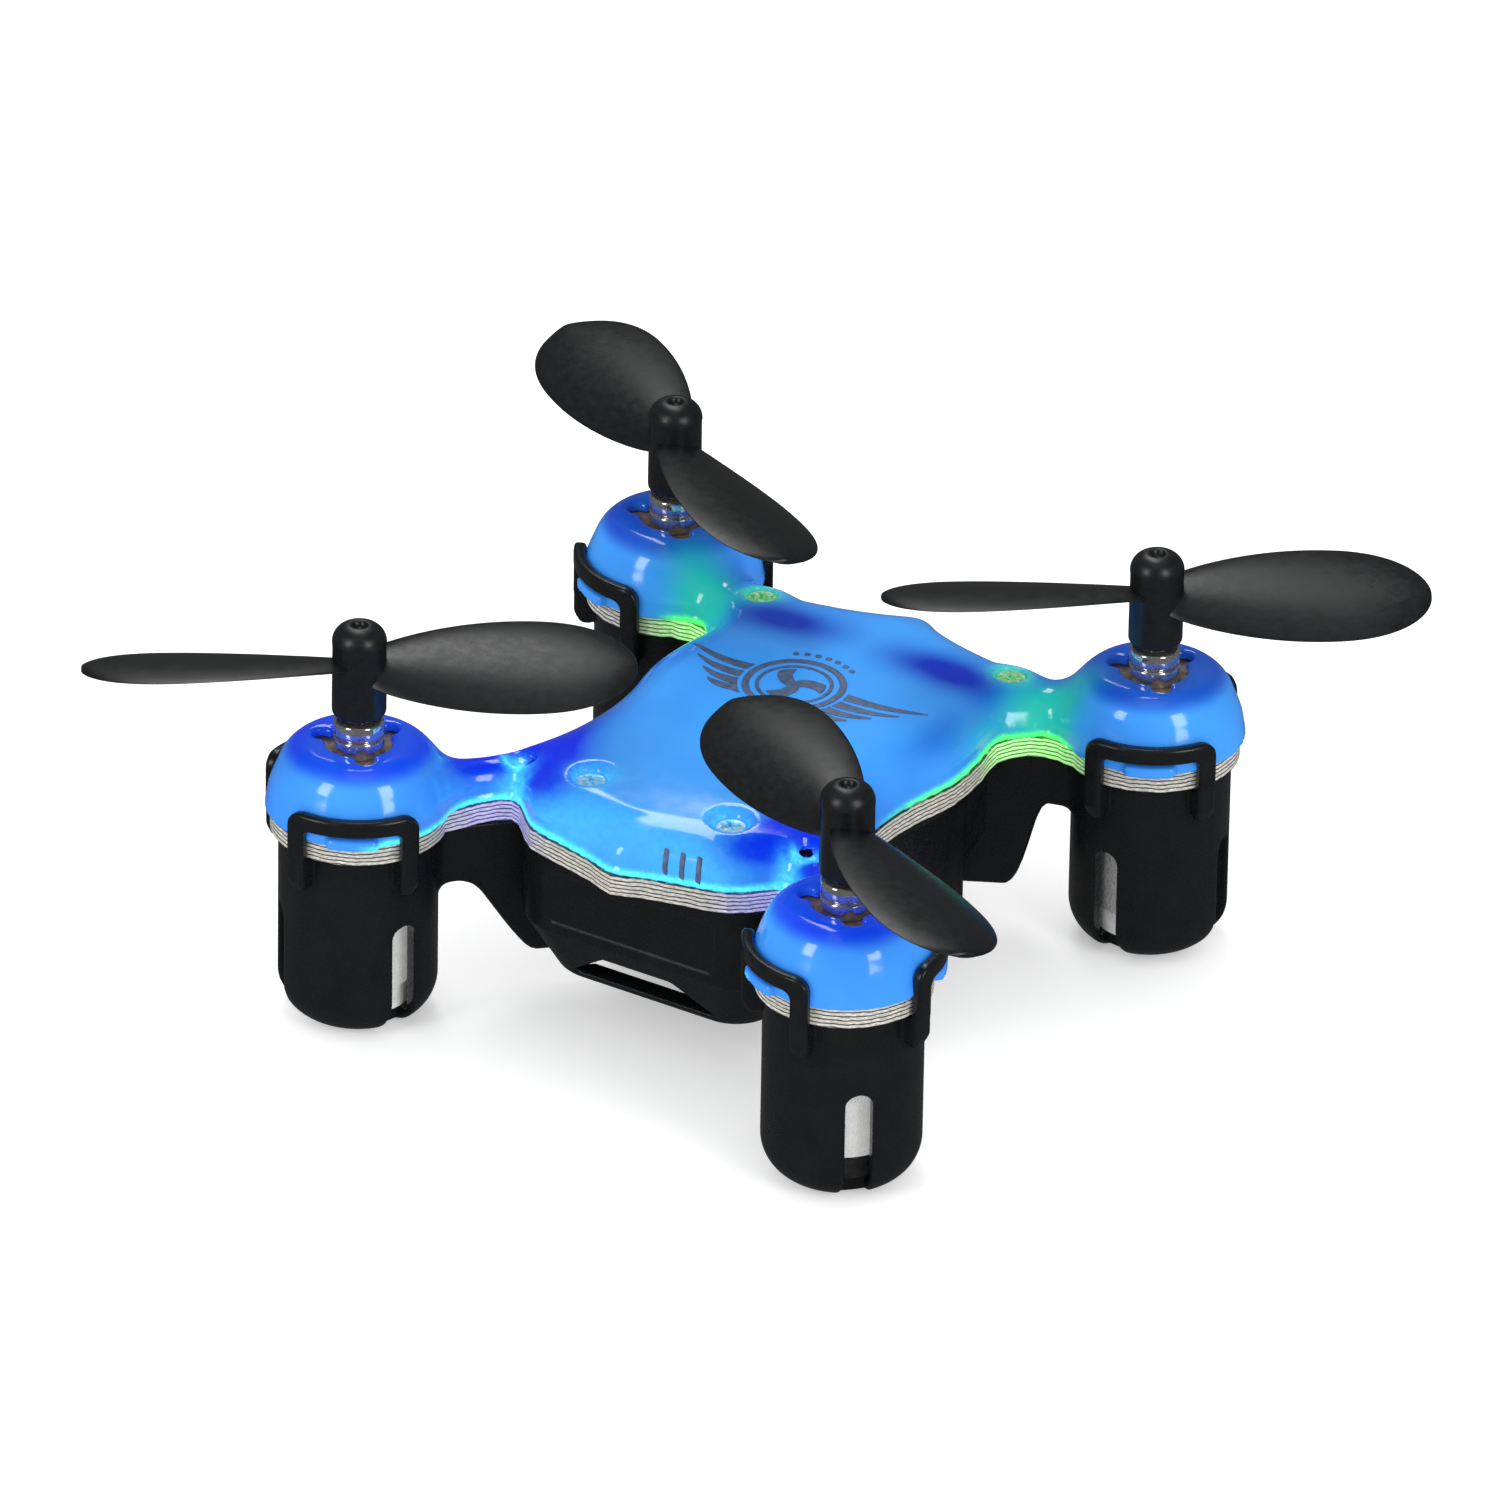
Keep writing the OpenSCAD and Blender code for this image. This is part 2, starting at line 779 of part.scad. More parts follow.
module propeller(corner) {
    spin = corner[1] * corner[2] > 0 ? 1 : -1;
    color(shell_black)
        at_corner(corner)
            rotate([0, 0, spin > 0 ? rest_angle_a : rest_angle_b])
                difference() {
                    union() {
                        prop_hub();
                        blade(spin);
                        rotate([0, 0, 180])
                            blade(spin);
                    }
                    translate([0, 0, prop_z0 - 1])
                        cylinder(r = shaft_d / 2, h = 12);
                }
}

bottom_shell();
main_board();
top_shell();
shell_screws();
battery_cell();
battery_tape();
battery_leads();
flight_chip();
gyro_chip();
radio_chip();
crystal();
motor_drivers();
small_parts();
antenna();
power_switch_case();
power_switch_slider();
charge_socket();
for (corner = CORNERS) {
    propeller(corner);
    motor_shaft(corner);
    motor_coil(corner);
    motor_magnet(corner);
    motor_boss(corner);
    motor_can(corner);
    motor_end_cap(corner);
    motor_leads(corner);
    led(corner);
}
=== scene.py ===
import math

import bpy
import numpy as np
from mathutils import Matrix, Vector
from mathutils.bvhtree import BVHTree


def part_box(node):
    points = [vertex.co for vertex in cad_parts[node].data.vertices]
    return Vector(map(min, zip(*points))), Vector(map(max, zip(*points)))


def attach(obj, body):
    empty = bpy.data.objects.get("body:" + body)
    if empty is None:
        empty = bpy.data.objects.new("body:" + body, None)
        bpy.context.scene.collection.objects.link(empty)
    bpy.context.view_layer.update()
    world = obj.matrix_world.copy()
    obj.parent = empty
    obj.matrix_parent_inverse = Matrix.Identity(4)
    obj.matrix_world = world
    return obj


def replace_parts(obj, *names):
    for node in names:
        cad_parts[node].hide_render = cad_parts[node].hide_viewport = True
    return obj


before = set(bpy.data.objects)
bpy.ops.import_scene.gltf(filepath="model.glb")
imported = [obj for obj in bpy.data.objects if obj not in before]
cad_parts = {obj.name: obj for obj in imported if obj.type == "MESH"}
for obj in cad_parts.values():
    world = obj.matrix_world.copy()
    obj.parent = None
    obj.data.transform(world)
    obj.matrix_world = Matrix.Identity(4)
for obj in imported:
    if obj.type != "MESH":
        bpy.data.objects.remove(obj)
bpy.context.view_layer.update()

MM = 0.001
CORNERS = {"front_left": (1, -1), "front_right": (-1, -1), "rear_left": (1, 1), "rear_right": (-1, 1)}


def mm_box(node):
    """Lowest and highest corner of a CAD node, in millimetres."""
    low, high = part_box(node)
    return np.array(low) / MM, np.array(high) / MM


# Heights and places read from the CAD frame, in millimetres
BOARD_LOW, BOARD_HIGH = mm_box("main_board")
BOARD_Z0, BOARD_Z1 = BOARD_LOW[2], BOARD_HIGH[2]
CAP_Z = mm_box("top_shell")[1][2]
CAN_LOW, CAN_HIGH = mm_box("motor_can_front_left")
HUB = (CAN_LOW[0] + CAN_HIGH[0]) / 2
CAN_R = (CAN_HIGH[0] - CAN_LOW[0]) / 2
CAN_Z1 = CAN_HIGH[2]
BOARD_R = BOARD_HIGH[0] - HUB
BOSS_LOW, BOSS_HIGH = mm_box("motor_boss_front_left")
PROP_LOW, PROP_HIGH = mm_box("propeller_front_left")
SHAFT_TOP = mm_box("motor_shaft_front_left")[1][2]

# Places on the left half, mirrored to the right: front first, then rear
SCREW_POINTS = [(4.55, -9.75), (8.15, 13.1)]
LED_POINTS = [(9.2, -8.9), (10.5, 13.1)]

# Pale layers in the laminated board
LAYERS = 5


# ---------- camera ----------

def make_camera():
    """The camera, from its azimuth, elevation, roll, shift off the axis and distance in millimetres."""
    azimuth, elevation, roll = (math.radians(a) for a in (32.37, 28.95, -0.98))
    across, up, distance, lens = 0.21, -12.04, 997.1, 433.6032
    c, s, ce, se = math.cos(azimuth), math.sin(azimuth), math.cos(elevation), math.sin(elevation)
    right0 = Vector((c, s, 0))
    up0 = Vector((-s * se, c * se, ce))
    ahead = Vector((-s * ce, c * ce, -se))
    right = math.cos(roll) * right0 - math.sin(roll) * up0
    above = math.sin(roll) * right0 + math.cos(roll) * up0
    camera = bpy.data.objects.new("camera", bpy.data.cameras.new("camera"))
    bpy.context.scene.collection.objects.link(camera)
    camera.matrix_world = Matrix(
        [[right[k], above[k], -ahead[k], 0] for k in range(3)] + [[0, 0, 0, 1]]
    )
    camera.location = (-across * right - up * above - distance * ahead) * MM
    camera.data.sensor_width = 36
    camera.data.lens = lens
    camera.data.clip_start, camera.data.clip_end = 0.05, 20
    bpy.context.scene.camera = camera


# ---------- node materials ----------

def wire(tree, target, value):
    """Puts a value or another node's output on an input socket."""
    if isinstance(value, bpy.types.NodeSocket):
        tree.links.new(value, target)
    elif isinstance(value, (tuple, list)) and len(value) == 3 and target.type == "RGBA":
        target.default_value = (*value, 1)
    else:
        target.default_value = value


class Nodes:
    """A material under construction. Each call adds one node and returns its output."""

    def __init__(self, name):
        self.material = bpy.data.materials.new(name)
        self.material.use_nodes = True
        self.tree = self.material.node_tree
        self.shader = self.tree.nodes["Principled BSDF"]
        self.place = self.add("ShaderNodeTexCoord", out="Object")
        self.mm = self.math3("SCALE", self.place, scale=1 / MM)

    def add(self, kind, inputs=(), out=0, **settings):
        made = self.tree.nodes.new(kind)
        for key, value in settings.items():
            setattr(made, key, value)
        for key, value in dict(inputs).items():
            wire(self.tree, made.inputs[key], value)
        return made.outputs[out]

    def math(self, operation, a, b=0.0, clamp=False):
        return self.add("ShaderNodeMath", {0: a, 1: b}, operation=operation, use_clamp=clamp)

    def math3(self, operation, a, b=(0, 0, 0), scale=1.0, out=0):
        return self.add("ShaderNodeVectorMath", {0: a, 1: b, 3: scale}, out=out, operation=operation)

    def noise(self, scale, detail=3.0, rough=0.5, vector=None, out=0):
        return self.add(
            "ShaderNodeTexNoise",
            {"Vector": vector or self.mm, "Scale": scale, "Detail": detail, "Roughness": rough},
            out=out,
        )

    def remap(self, value, low, high, to_low=0.0, to_high=1.0, smooth=False):
        return self.add(
            "ShaderNodeMapRange",
            {0: value, 1: low, 2: high, 3: to_low, 4: to_high},
            interpolation_type="SMOOTHSTEP" if smooth else "LINEAR",
        )

    def mix(self, factor, a, b, blend="MIX"):
        made = self.tree.nodes.new("ShaderNodeMix")
        made.data_type, made.blend_type = "RGBA", blend
        wire(self.tree, made.inputs[0], factor)
        wire(self.tree, made.inputs[6], a)
        wire(self.tree, made.inputs[7], b)
        return made.outputs[2]

    def split(self, vector=None):
        made = self.tree.nodes.new("ShaderNodeSeparateXYZ")
        wire(self.tree, made.inputs[0], vector or self.mm)
        return made.outputs

    def attribute(self, name):
        return self.add("ShaderNodeAttribute", out="Fac", attribute_name=name)

    def spot(self, points, radius, inner=0.0):
        """1 near any of the points, falling smoothly to 0 at radius, mirrored in X."""
        x, y, z = self.split()
        folded = self.add("ShaderNodeCombineXYZ", {0: self.math("ABSOLUTE", x), 1: y, 2: z})
        total = None
        for point in points:
            far = self.math3("DISTANCE", folded, point, out="Value")
            near = self.remap(far, radius, inner, smooth=True)
            total = near if total is None else self.math("MAXIMUM", total, near)
        return total

    def bump(self, height, strength, distance, normal=None):
        inputs = {"Height": height, "Strength": strength, "Distance": distance * MM}
        if normal is not None:
            inputs["Normal"] = normal
        return self.add("ShaderNodeBump", inputs)

    def bevel(self, radius, normal=None):
        inputs = {"Radius": radius * MM}
        if normal is not None:
            inputs["Normal"] = normal
        return self.add("ShaderNodeBevel", inputs, samples=4)

    def finish(self, **sockets):
        for key, value in sockets.items():
            wire(self.tree, self.shader.inputs[key.replace("_", " ")], value)
        return self.material


def canopy_material():
    """Glossy translucent blue plastic with painted dark-blue shade, and painted light from the blue and
    green lamps inside, in its colour and as emission.
    """
    n = Nodes("canopy_blue")
    # These masks hold painted light and shade, made per vertex: dark-blue shade and cyan, green and teal
    # lamp glow.
    painted_deep_shade = n.attribute("painted_deep_shade")
    painted_cyan_glow = n.attribute("painted_cyan_glow")
    green = n.attribute("green")
    painted_teal_glow = n.attribute("painted_teal_glow")
    # Painted shade: the base colour turns deep blue where the shade mask holds, with a cloudy random
    # variation.
    cloud = n.remap(n.noise(0.22, 2.0), 0.35, 0.65, -0.12, 0.12)
    painted_deep_shade = n.math("ADD", painted_deep_shade, n.math("MULTIPLY", cloud, 0.5), clamp=True)
    body = n.mix(painted_deep_shade, (0.050, 0.315, 0.80), (0.002, 0.018, 0.38))
    # Painted glow: teal, cyan and green lamp light mixed into the base colour, with a noise of painted
    # sparkle.
    body = n.mix(painted_teal_glow, body, (0.02, 0.52, 0.36))
    painted_sparkle = n.remap(n.noise(2.6, 4.0, 0.6), 0.3, 0.7, 0.55, 1.25)
    cyan_lit = n.math("MULTIPLY", painted_cyan_glow, painted_sparkle)
    green_lit = n.math("MULTIPLY", green, painted_sparkle)
    body = n.mix(n.math("MULTIPLY", cyan_lit, 0.8, clamp=True), body, (0.02, 0.62, 0.95))
    body = n.mix(n.math("MULTIPLY", green_lit, 0.8, clamp=True), body, (0.05, 0.75, 0.12))
    # Painted glow: the canopy emits a dim blue all over, a stronger deep blue in its shaded zones towards
    # the front, and cyan and green where lamp light is painted, though it is no lamp.
    along = n.split()[1]
    lamp_blue = n.math("MULTIPLY", painted_deep_shade, n.remap(along, -3.0, -7.5))
    painted_canopy_glow = n.mix(lamp_blue, (0.0, 0.012, 0.12), (0.0, 0.012, 0.62))
    painted_canopy_glow = n.mix(n.math("MULTIPLY", cyan_lit, 1.0, clamp=True), painted_canopy_glow, (0.12, 0.70, 1.0))
    painted_canopy_glow = n.mix(n.math("MULTIPLY", green_lit, 1.0, clamp=True), painted_canopy_glow, (0.10, 0.80, 0.10))
    ripple = n.bump(n.noise(0.5, 1.0), 0.25, 0.08)
    skin = n.bump(n.noise(9.0, 2.0), 0.05, 0.01, ripple)
    return n.finish(
        Base_Color=body, Roughness=n.remap(n.noise(1.4, 4.0), 0.3, 0.7, 0.10, 0.17), IOR=1.5,
        Coat_Weight=0.35, Coat_Roughness=0.05, Normal=skin,
        Emission_Color=painted_canopy_glow, Emission_Strength=0.75,
    )


def shell_material(name="shell_black", base=(0.0052, 0.0062, 0.0072), rough=0.24):
    """Black satin moulded plastic with a fine texture and worn, slightly brighter patches."""
    n = Nodes(name)
    fine = n.noise(14.0, 3.0, 0.6)
    patches = n.remap(n.noise(0.6, 3.0), 0.35, 0.7)
    colour = n.mix(patches, base, tuple(1.25 * v for v in base))
    grain = n.remap(fine, 0.3, 0.7, rough - 0.04, rough + 0.06)
    roughness = n.math("ADD", n.math("MULTIPLY", patches, 0.07), grain)
    return n.finish(
        Base_Color=colour, Roughness=roughness, IOR=1.46,
        Normal=n.bump(fine, 0.22, 0.012, n.bump(n.noise(1.1, 2.0), 0.15, 0.05)),
    )


def blade_material():
    """Satin black blade: faint moulding streaks and a mottled surface."""
    n = Nodes("propeller_black")
    stretched = n.math3("MULTIPLY", n.mm, (0.9, 0.9, 3.0))
    mottle = n.noise(1.6, 5.0, 0.65, stretched)
    fine = n.noise(16.0, 2.0)
    return n.finish(
        Base_Color=n.mix(n.remap(mottle, 0.35, 0.65), (0.0045, 0.0055, 0.0062), (0.008, 0.009, 0.010)),
        Roughness=n.remap(mottle, 0.3, 0.7, 0.30, 0.42), IOR=1.5,
        Normal=n.bump(fine, 0.12, 0.008, n.bump(mottle, 0.12, 0.04)),
    )


def board_material():
    """The laminated board: pale layers with dark glue lines, and painted green and blue lamp light near
    the lamps, as emission.
    """
    n = Nodes("board_laminate")
    height = n.split()[2]
    wander = n.math("MULTIPLY", n.math("SUBTRACT", n.noise(1.1, 3.0), 0.5), 0.22)
    risen = n.math("ADD", n.math("SUBTRACT", height, float(BOARD_Z0)), wander)
    level = n.math("DIVIDE", risen, (BOARD_Z1 - BOARD_Z0) / LAYERS)
    off_middle = n.math("ABSOLUTE", n.math("SUBTRACT", n.math("FRACT", level), 0.5))
    line = n.math("SUBTRACT", 1.0, n.remap(off_middle, 0.26, 0.44, smooth=True))
    long_grain = n.noise(3.2, 5.0, 0.7, n.math3("MULTIPLY", n.mm, (1.0, 1.0, 7.0)))
    tone = n.mix(n.remap(long_grain, 0.36, 0.64), (0.24, 0.225, 0.19), (0.78, 0.76, 0.69))
    glue = n.mix(n.remap(n.noise(1.4, 3.0), 0.4, 0.6), (0.012, 0.012, 0.014), (0.06, 0.055, 0.05))
    colour = n.mix(line, glue, tone)
    # Painted glow: the board emits green near the rear lamps and blue near the front lamps, dimmer on the
    # glue lines, though it is no lamp.
    green = n.spot([(LED_POINTS[1][0], LED_POINTS[1][1] - 1.6, BOARD_Z1)], 5.2, 1.2)
    blue = n.spot([(LED_POINTS[0][0], LED_POINTS[0][1] - 2.2, BOARD_Z1)], 5.5, 1.0)
    lit = n.mix(green, (0, 0, 0), (0.10, 0.75, 0.03))
    lit = n.mix(n.math("MULTIPLY", blue, 0.6), lit, (0.14, 0.13, 0.85))
    lit = n.mix(n.remap(line, 0.0, 1.0, 0.25, 1.0), (0, 0, 0), lit)
    bumps = n.bump(line, 0.6, 0.05, n.bump(long_grain, 0.4, 0.05, n.bevel(0.06)))
    return n.finish(
        Base_Color=colour, Roughness=0.42, Normal=bumps, Emission_Color=lit, Emission_Strength=0.9,
    )


def metal_material(name, colour, rough, brushed=False, bevel=0.05, metallic=1.0):
    """Bare metal with fine turning marks, or brushed along Z."""
    n = Nodes(name)
    scale = (14.0, 14.0, 1.5) if brushed else (3.0, 3.0, 18.0)
    marks = n.noise(1.6, 3.0, 0.6, n.math3("MULTIPLY", n.mm, scale))
    stain = n.remap(n.noise(0.9, 3.0), 0.3, 0.7)
    return n.finish(
        Base_Color=n.mix(stain, colour, tuple(0.72 * v for v in colour)), Metallic=metallic,
        Roughness=n.math("ADD", rough, n.math("MULTIPLY", marks, 0.10)),
        Normal=n.bump(marks, 0.12, 0.01, n.bevel(bevel)),
    )


def can_material():
    """The motor can: bright satin steel with a tan disc on its top, and a painted highlight that makes
    the front cans' sides emit.
    """
    n = Nodes("can_steel")
    marks = n.noise(1.6, 3.0, 0.6, n.math3("MULTIPLY", n.mm, (14.0, 14.0, 1.5)))
    _, along, height = n.split()
    top = n.remap(height, float(CAN_Z1) - 0.08, float(CAN_Z1) - 0.04)
    stain = n.remap(n.noise(1.3, 4.0, 0.6), 0.3, 0.7)
    side = n.mix(stain, (0.90, 0.90, 0.88), (0.78, 0.78, 0.77))
    disc = n.mix(stain, (0.30, 0.22, 0.13), (0.12, 0.085, 0.05))
    # Painted highlight: the sides of the front cans emit their own colour, while the rear cans and the
    # top discs do not. The can is no lamp.
    painted_shine = n.math("MULTIPLY", n.remap(top, 1.0, 0.0), n.remap(along, 2.0, -2.0, 0.0, 0.28))
    return n.finish(
        Base_Color=n.mix(top, side, disc), Metallic=n.remap(top, 0.0, 1.0, 0.45, 0.1),
        Roughness=n.remap(marks, 0.3, 0.7, 0.22, 0.34), Normal=n.bump(marks, 0.06, 0.01, n.bevel(0.05)),
        Emission_Color=side, Emission_Strength=painted_shine,
    )


def screw_material():
    """Small steel screws with painted lamp light: blue at the front and green at the rear, in their
    colour and as emission.
    """
    n = Nodes("screw_steel")
    along = n.split()[1]
    marks = n.noise(5.0, 3.0, 0.6)
    # Painted glow: the screws' colour and emission take blue at the front and green at the rear, standing
    # in for the lamps' light.
    painted_lamp_tint = n.mix(n.remap(along, -1.0, 1.0), (0.10, 0.55, 0.85), (0.06, 0.62, 0.12))
    colour = n.mix(n.remap(marks, 0.35, 0.65), painted_lamp_tint, (0.75, 0.82, 0.84))
    return n.finish(
        Base_Color=colour, Metallic=0.6, Roughness=n.remap(marks, 0.3, 0.7, 0.12, 0.3),
        Normal=n.bump(marks, 0.2, 0.02, n.bevel(0.05)), Emission_Color=painted_lamp_tint, Emission_Strength=0.18,
    )


def plastic_material(name, dark, light, rough=0.4, scale=2.0, bevel=0.05, bump=0.15):
    """Any small moulded or printed part: two close tones, a fine bump and rounded edges."""
    n = Nodes(name)
    tone = n.noise(scale, 4.0, 0.6)
    return n.finish(
        Base_Color=n.mix(n.remap(tone, 0.35, 0.65), dark, light),
        Roughness=n.remap(tone, 0.3, 0.7, rough - 0.06, rough + 0.08),
        Normal=n.bump(n.noise(scale * 6, 2.0), bump, 0.01, n.bevel(bevel)),
    )


def lamp_material(name, colour):
    """A lit lamp: a bright die in a milky lens."""
    n = Nodes(name)
    tone = n.noise(6.0, 2.0)
    return n.finish(
        Base_Color=n.mix(tone, (0.8, 0.82, 0.8), (0.95, 0.95, 0.93)), Roughness=0.3,
        Normal=n.bevel(0.08), Emission_Color=n.mix(n.remap(tone, 0.3, 0.7), colour, (0.9, 0.95, 0.95)),
        Emission_Strength=2.5,
    )


# ---------- solids from fields ----------
#
# A field is negative inside a solid and about the distance to its surface, in millimetres.

# A field's value far outside, where a shape has yet to be added
OUTSIDE = 9.0


def smooth(low, high, value):
    """0 at low and 1 at high, with a soft start and end."""
    t = np.clip((value - low) / (high - low), 0, 1)
    return t * t * (3 - 2 * t)


def join(a, b, k):
    """The union of two fields with a fillet of about k."""
    h = np.clip(0.5 + 0.5 * (b - a) / k, 0, 1)
    return b + (a - b) * h - k * h * (1 - h)


def carve(a, b, k):
    """Field a with field b cut out of it, the edge rounded by about k."""
    return -join(-a, b, k)


def both(a, b, r):
    """Where both fields hold, with the edge between them rounded to radius r."""
    u, v = np.maximum(a + r, 0), np.maximum(b + r, 0)
    return np.minimum(np.maximum(a, b), -r) + np.sqrt(u * u + v * v)


def grid(low, high, pitch):
    """Coordinates along X, Y and Z that broadcast against each other."""
    x, y, z = (np.arange(a, b + h / 2, h, dtype=np.float32) for a, b, h in zip(low, high, pitch))
    return x[:, None, None], y[None, :, None], z[None, None, :]


def look_up(field, low, pitch, points):
    """The field at points between its grid points."""
    at = (points - low) / pitch
    base = np.clip(np.floor(at).astype(int), 0, np.array(field.shape) - 2)
    t = np.clip(at - base, 0, 1)
    total = np.zeros(len(points))
    for corner in range(2 ** points.shape[1]):
        bits = np.array([corner >> k & 1 for k in range(points.shape[1])])
        weight = np.prod(np.where(bits, t, 1 - t), axis=1)
        total += weight * field[tuple((base + bits).T)]
    return total


def skin_of(field, low, pitch):
    """Vertices, quads and normals of the surface where the field is zero."""
    low, pitch = np.array(low, float), np.array(pitch, float)
    stride = np.array([field.shape[1] * field.shape[2], field.shape[2], 1])
    cells, crossings, quads = [], [], []
    for axis in range(3):
        near = [slice(None)] * 3
        far = [slice(None)] * 3
        near[axis], far[axis] = slice(0, -1), slice(1, None)
        a, b = field[tuple(near)], field[tuple(far)]
        at = np.stack(np.nonzero((a < 0) != (b < 0)), 1)
        fa, fb = a[tuple(at.T)], b[tuple(at.T)]
        point = at.astype(float)
        point[:, axis] += fa / (fa - fb)
        u, v = (axis + 1) % 3, (axis + 2) % 3
        around = []
        for du, dv in ((0, 0), (1, 0), (1, 1), (0, 1)):
            cell = at.copy()
            cell[:, u] -= du
            cell[:, v] -= dv
            around.append(cell @ stride)
        around = np.stack(around, 1)
        cells.append(around.ravel())
        crossings.append(np.repeat(point, 4, axis=0))
        around[fa >= 0] = around[fa >= 0][:, ::-1]
        quads.append(around)
    ids, index = np.unique(np.concatenate(cells), return_inverse=True)
    crossings = np.concatenate(crossings)
    count = np.bincount(index.ravel())
    vertices = np.stack([np.bincount(index.ravel(), crossings[:, k]) / count for k in range(3)], 1)
    vertices = vertices * pitch + low
    faces = np.searchsorted(ids, np.concatenate(quads))
    for _ in range(3):
        slope = gradient(field, low, pitch, vertices)
        steep = np.maximum((slope * slope).sum(1), 0.05)
        move = -look_up(field, low, pitch, vertices)[:, None] * slope / steep[:, None]
        length = np.linalg.norm(move, axis=1)[:, None]
        vertices += move * np.minimum(1, 0.3 * pitch.min() / np.maximum(length, 1e-9))
    normals = gradient(field, low, pitch, vertices)
    normals /= np.maximum(np.linalg.norm(normals, axis=1)[:, None], 1e-9)
    return vertices, faces, normals


def gradient(field, low, pitch, points):
    """The field's slope at points."""
    slope = []
    for axis in range(3):
        step = np.zeros(3)
        step[axis] = 0.6 * pitch[axis]
        ahead = look_up(field, low, pitch, points + step)
        behind = look_up(field, low, pitch, points - step)
        slope.append((ahead - behind) / (2 * step[axis]))
    return np.stack(slope, 1)


def make_piece(name, vertices, faces, material, body="airframe", normals=None, attributes=()):
    """A mesh object from points in millimetres, riding on a body."""
    mesh = bpy.data.meshes.new(name)
    mesh.from_pydata((np.asarray(vertices) * MM).tolist(), [], [list(map(int, f)) for f in faces])
    mesh.update()
    mesh.polygons.foreach_set("use_smooth", np.ones(len(mesh.polygons), bool))
    if normals is not None:
        mesh.normals_split_custom_set_from_vertices(normals.tolist())
    for key, values in dict(attributes).items():
        layer = mesh.attributes.new(key, "FLOAT", "POINT")
        layer.data.foreach_set("value", np.asarray(values, np.float32))
    mesh.materials.append(material)
    piece = bpy.data.objects.new(name, mesh)
    bpy.context.scene.collection.objects.link(piece)
    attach(piece, body)
    return piece


# ---------- the board's outline ----------

def outline_segments():
    """The outer edges of the board's top face, as segments in no order."""
    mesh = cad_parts["main_board"].data
    places = np.array([v.co for v in mesh.vertices]) / MM
    seen = {}
    for face in mesh.polygons:
        corners = list(face.vertices)
        if places[corners, 2].min() < BOARD_Z1 - 0.01:
            continue
        for a, b in zip(corners, corners[1:] + corners[:1]):
            key = tuple(sorted((tuple(np.round(places[a, :2], 3)), tuple(np.round(places[b, :2], 3)))))
            seen[key] = seen.get(key, 0) + 1
    segments = np.array([key for key, count in seen.items() if count == 1])
    middle = np.abs(segments.mean(1))
    to_hub = np.hypot(middle[:, 0] - HUB, middle[:, 1] - HUB)
    to_screw = np.min([
        np.hypot(middle[:, 0] - x, segments.mean(1)[:, 1] - y) for x, y in SCREW_POINTS
    ], axis=0)
    return segments[(to_hub > CAN_R + 0.6) & (to_screw > 0.8)]


def outline_depth(x, y, segments):
    """How far each point lies inside the outline, negative outside."""
    shape = np.broadcast(x, y).shape
    far = np.full(shape, 1e6, np.float32)
    inside = np.zeros(shape, bool)
    for (x0, y0), (x1, y1) in segments:
        dx, dy = x1 - x0, y1 - y0
        t = np.clip(((x - x0) * dx + (y - y0) * dy) / max(dx * dx + dy * dy, 1e-9), 0, 1)
        far = np.minimum(far, (x - x0 - t * dx) ** 2 + (y - y0 - t * dy) ** 2)
        if dy:
            inside ^= ((y0 > y) != (y1 > y)) & (x < dx * (y - y0) / dy + x0)
    return np.where(inside, 1, -1) * np.sqrt(far)


def blur(field, sigma):
    """A 2-D field smoothed by a Gaussian of sigma cells."""
    reach = int(3 * sigma) + 1
    taps = np.exp(-0.5 * (np.arange(-reach, reach + 1) / sigma) ** 2)
    taps /= taps.sum()
    for axis in (0, 1):
        padded = np.pad(field, [(reach, reach) if k == axis else (0, 0) for k in (0, 1)], mode="edge")
        n = field.shape[axis]
        field = sum(w * np.take(padded, np.arange(k, k + n), axis=axis) for k, w in enumerate(taps))
    return field


def gauss(x, y, cx, cy, sx, sy, turn=0.0):
    """A round or oval patch that fades from 1 at its middle, its axes turned by degrees."""
    c, s = math.cos(math.radians(turn)), math.sin(math.radians(turn))
    u, v = (x - cx) * c + (y - cy) * s, -(x - cx) * s + (y - cy) * c
    return np.exp(-0.5 * ((u / sx) ** 2 + (v / sy) ** 2))


# ---------- canopy ----------

# The spacing of the canopy's sampling grid and how far it reaches in X and Y
PITCH = 0.205
REACH = HUB + BOARD_R + 0.8
FLAT_LOW = (-REACH, -REACH)

# Directions of the clips round each left motor axis, and of the first notch in each cap, in degrees
CLIPS = {"front": (-120, 30), "rear": (-60, 105)}
NOTCH_ANGLE = -47
DIMPLE = (9.45, -9.3)


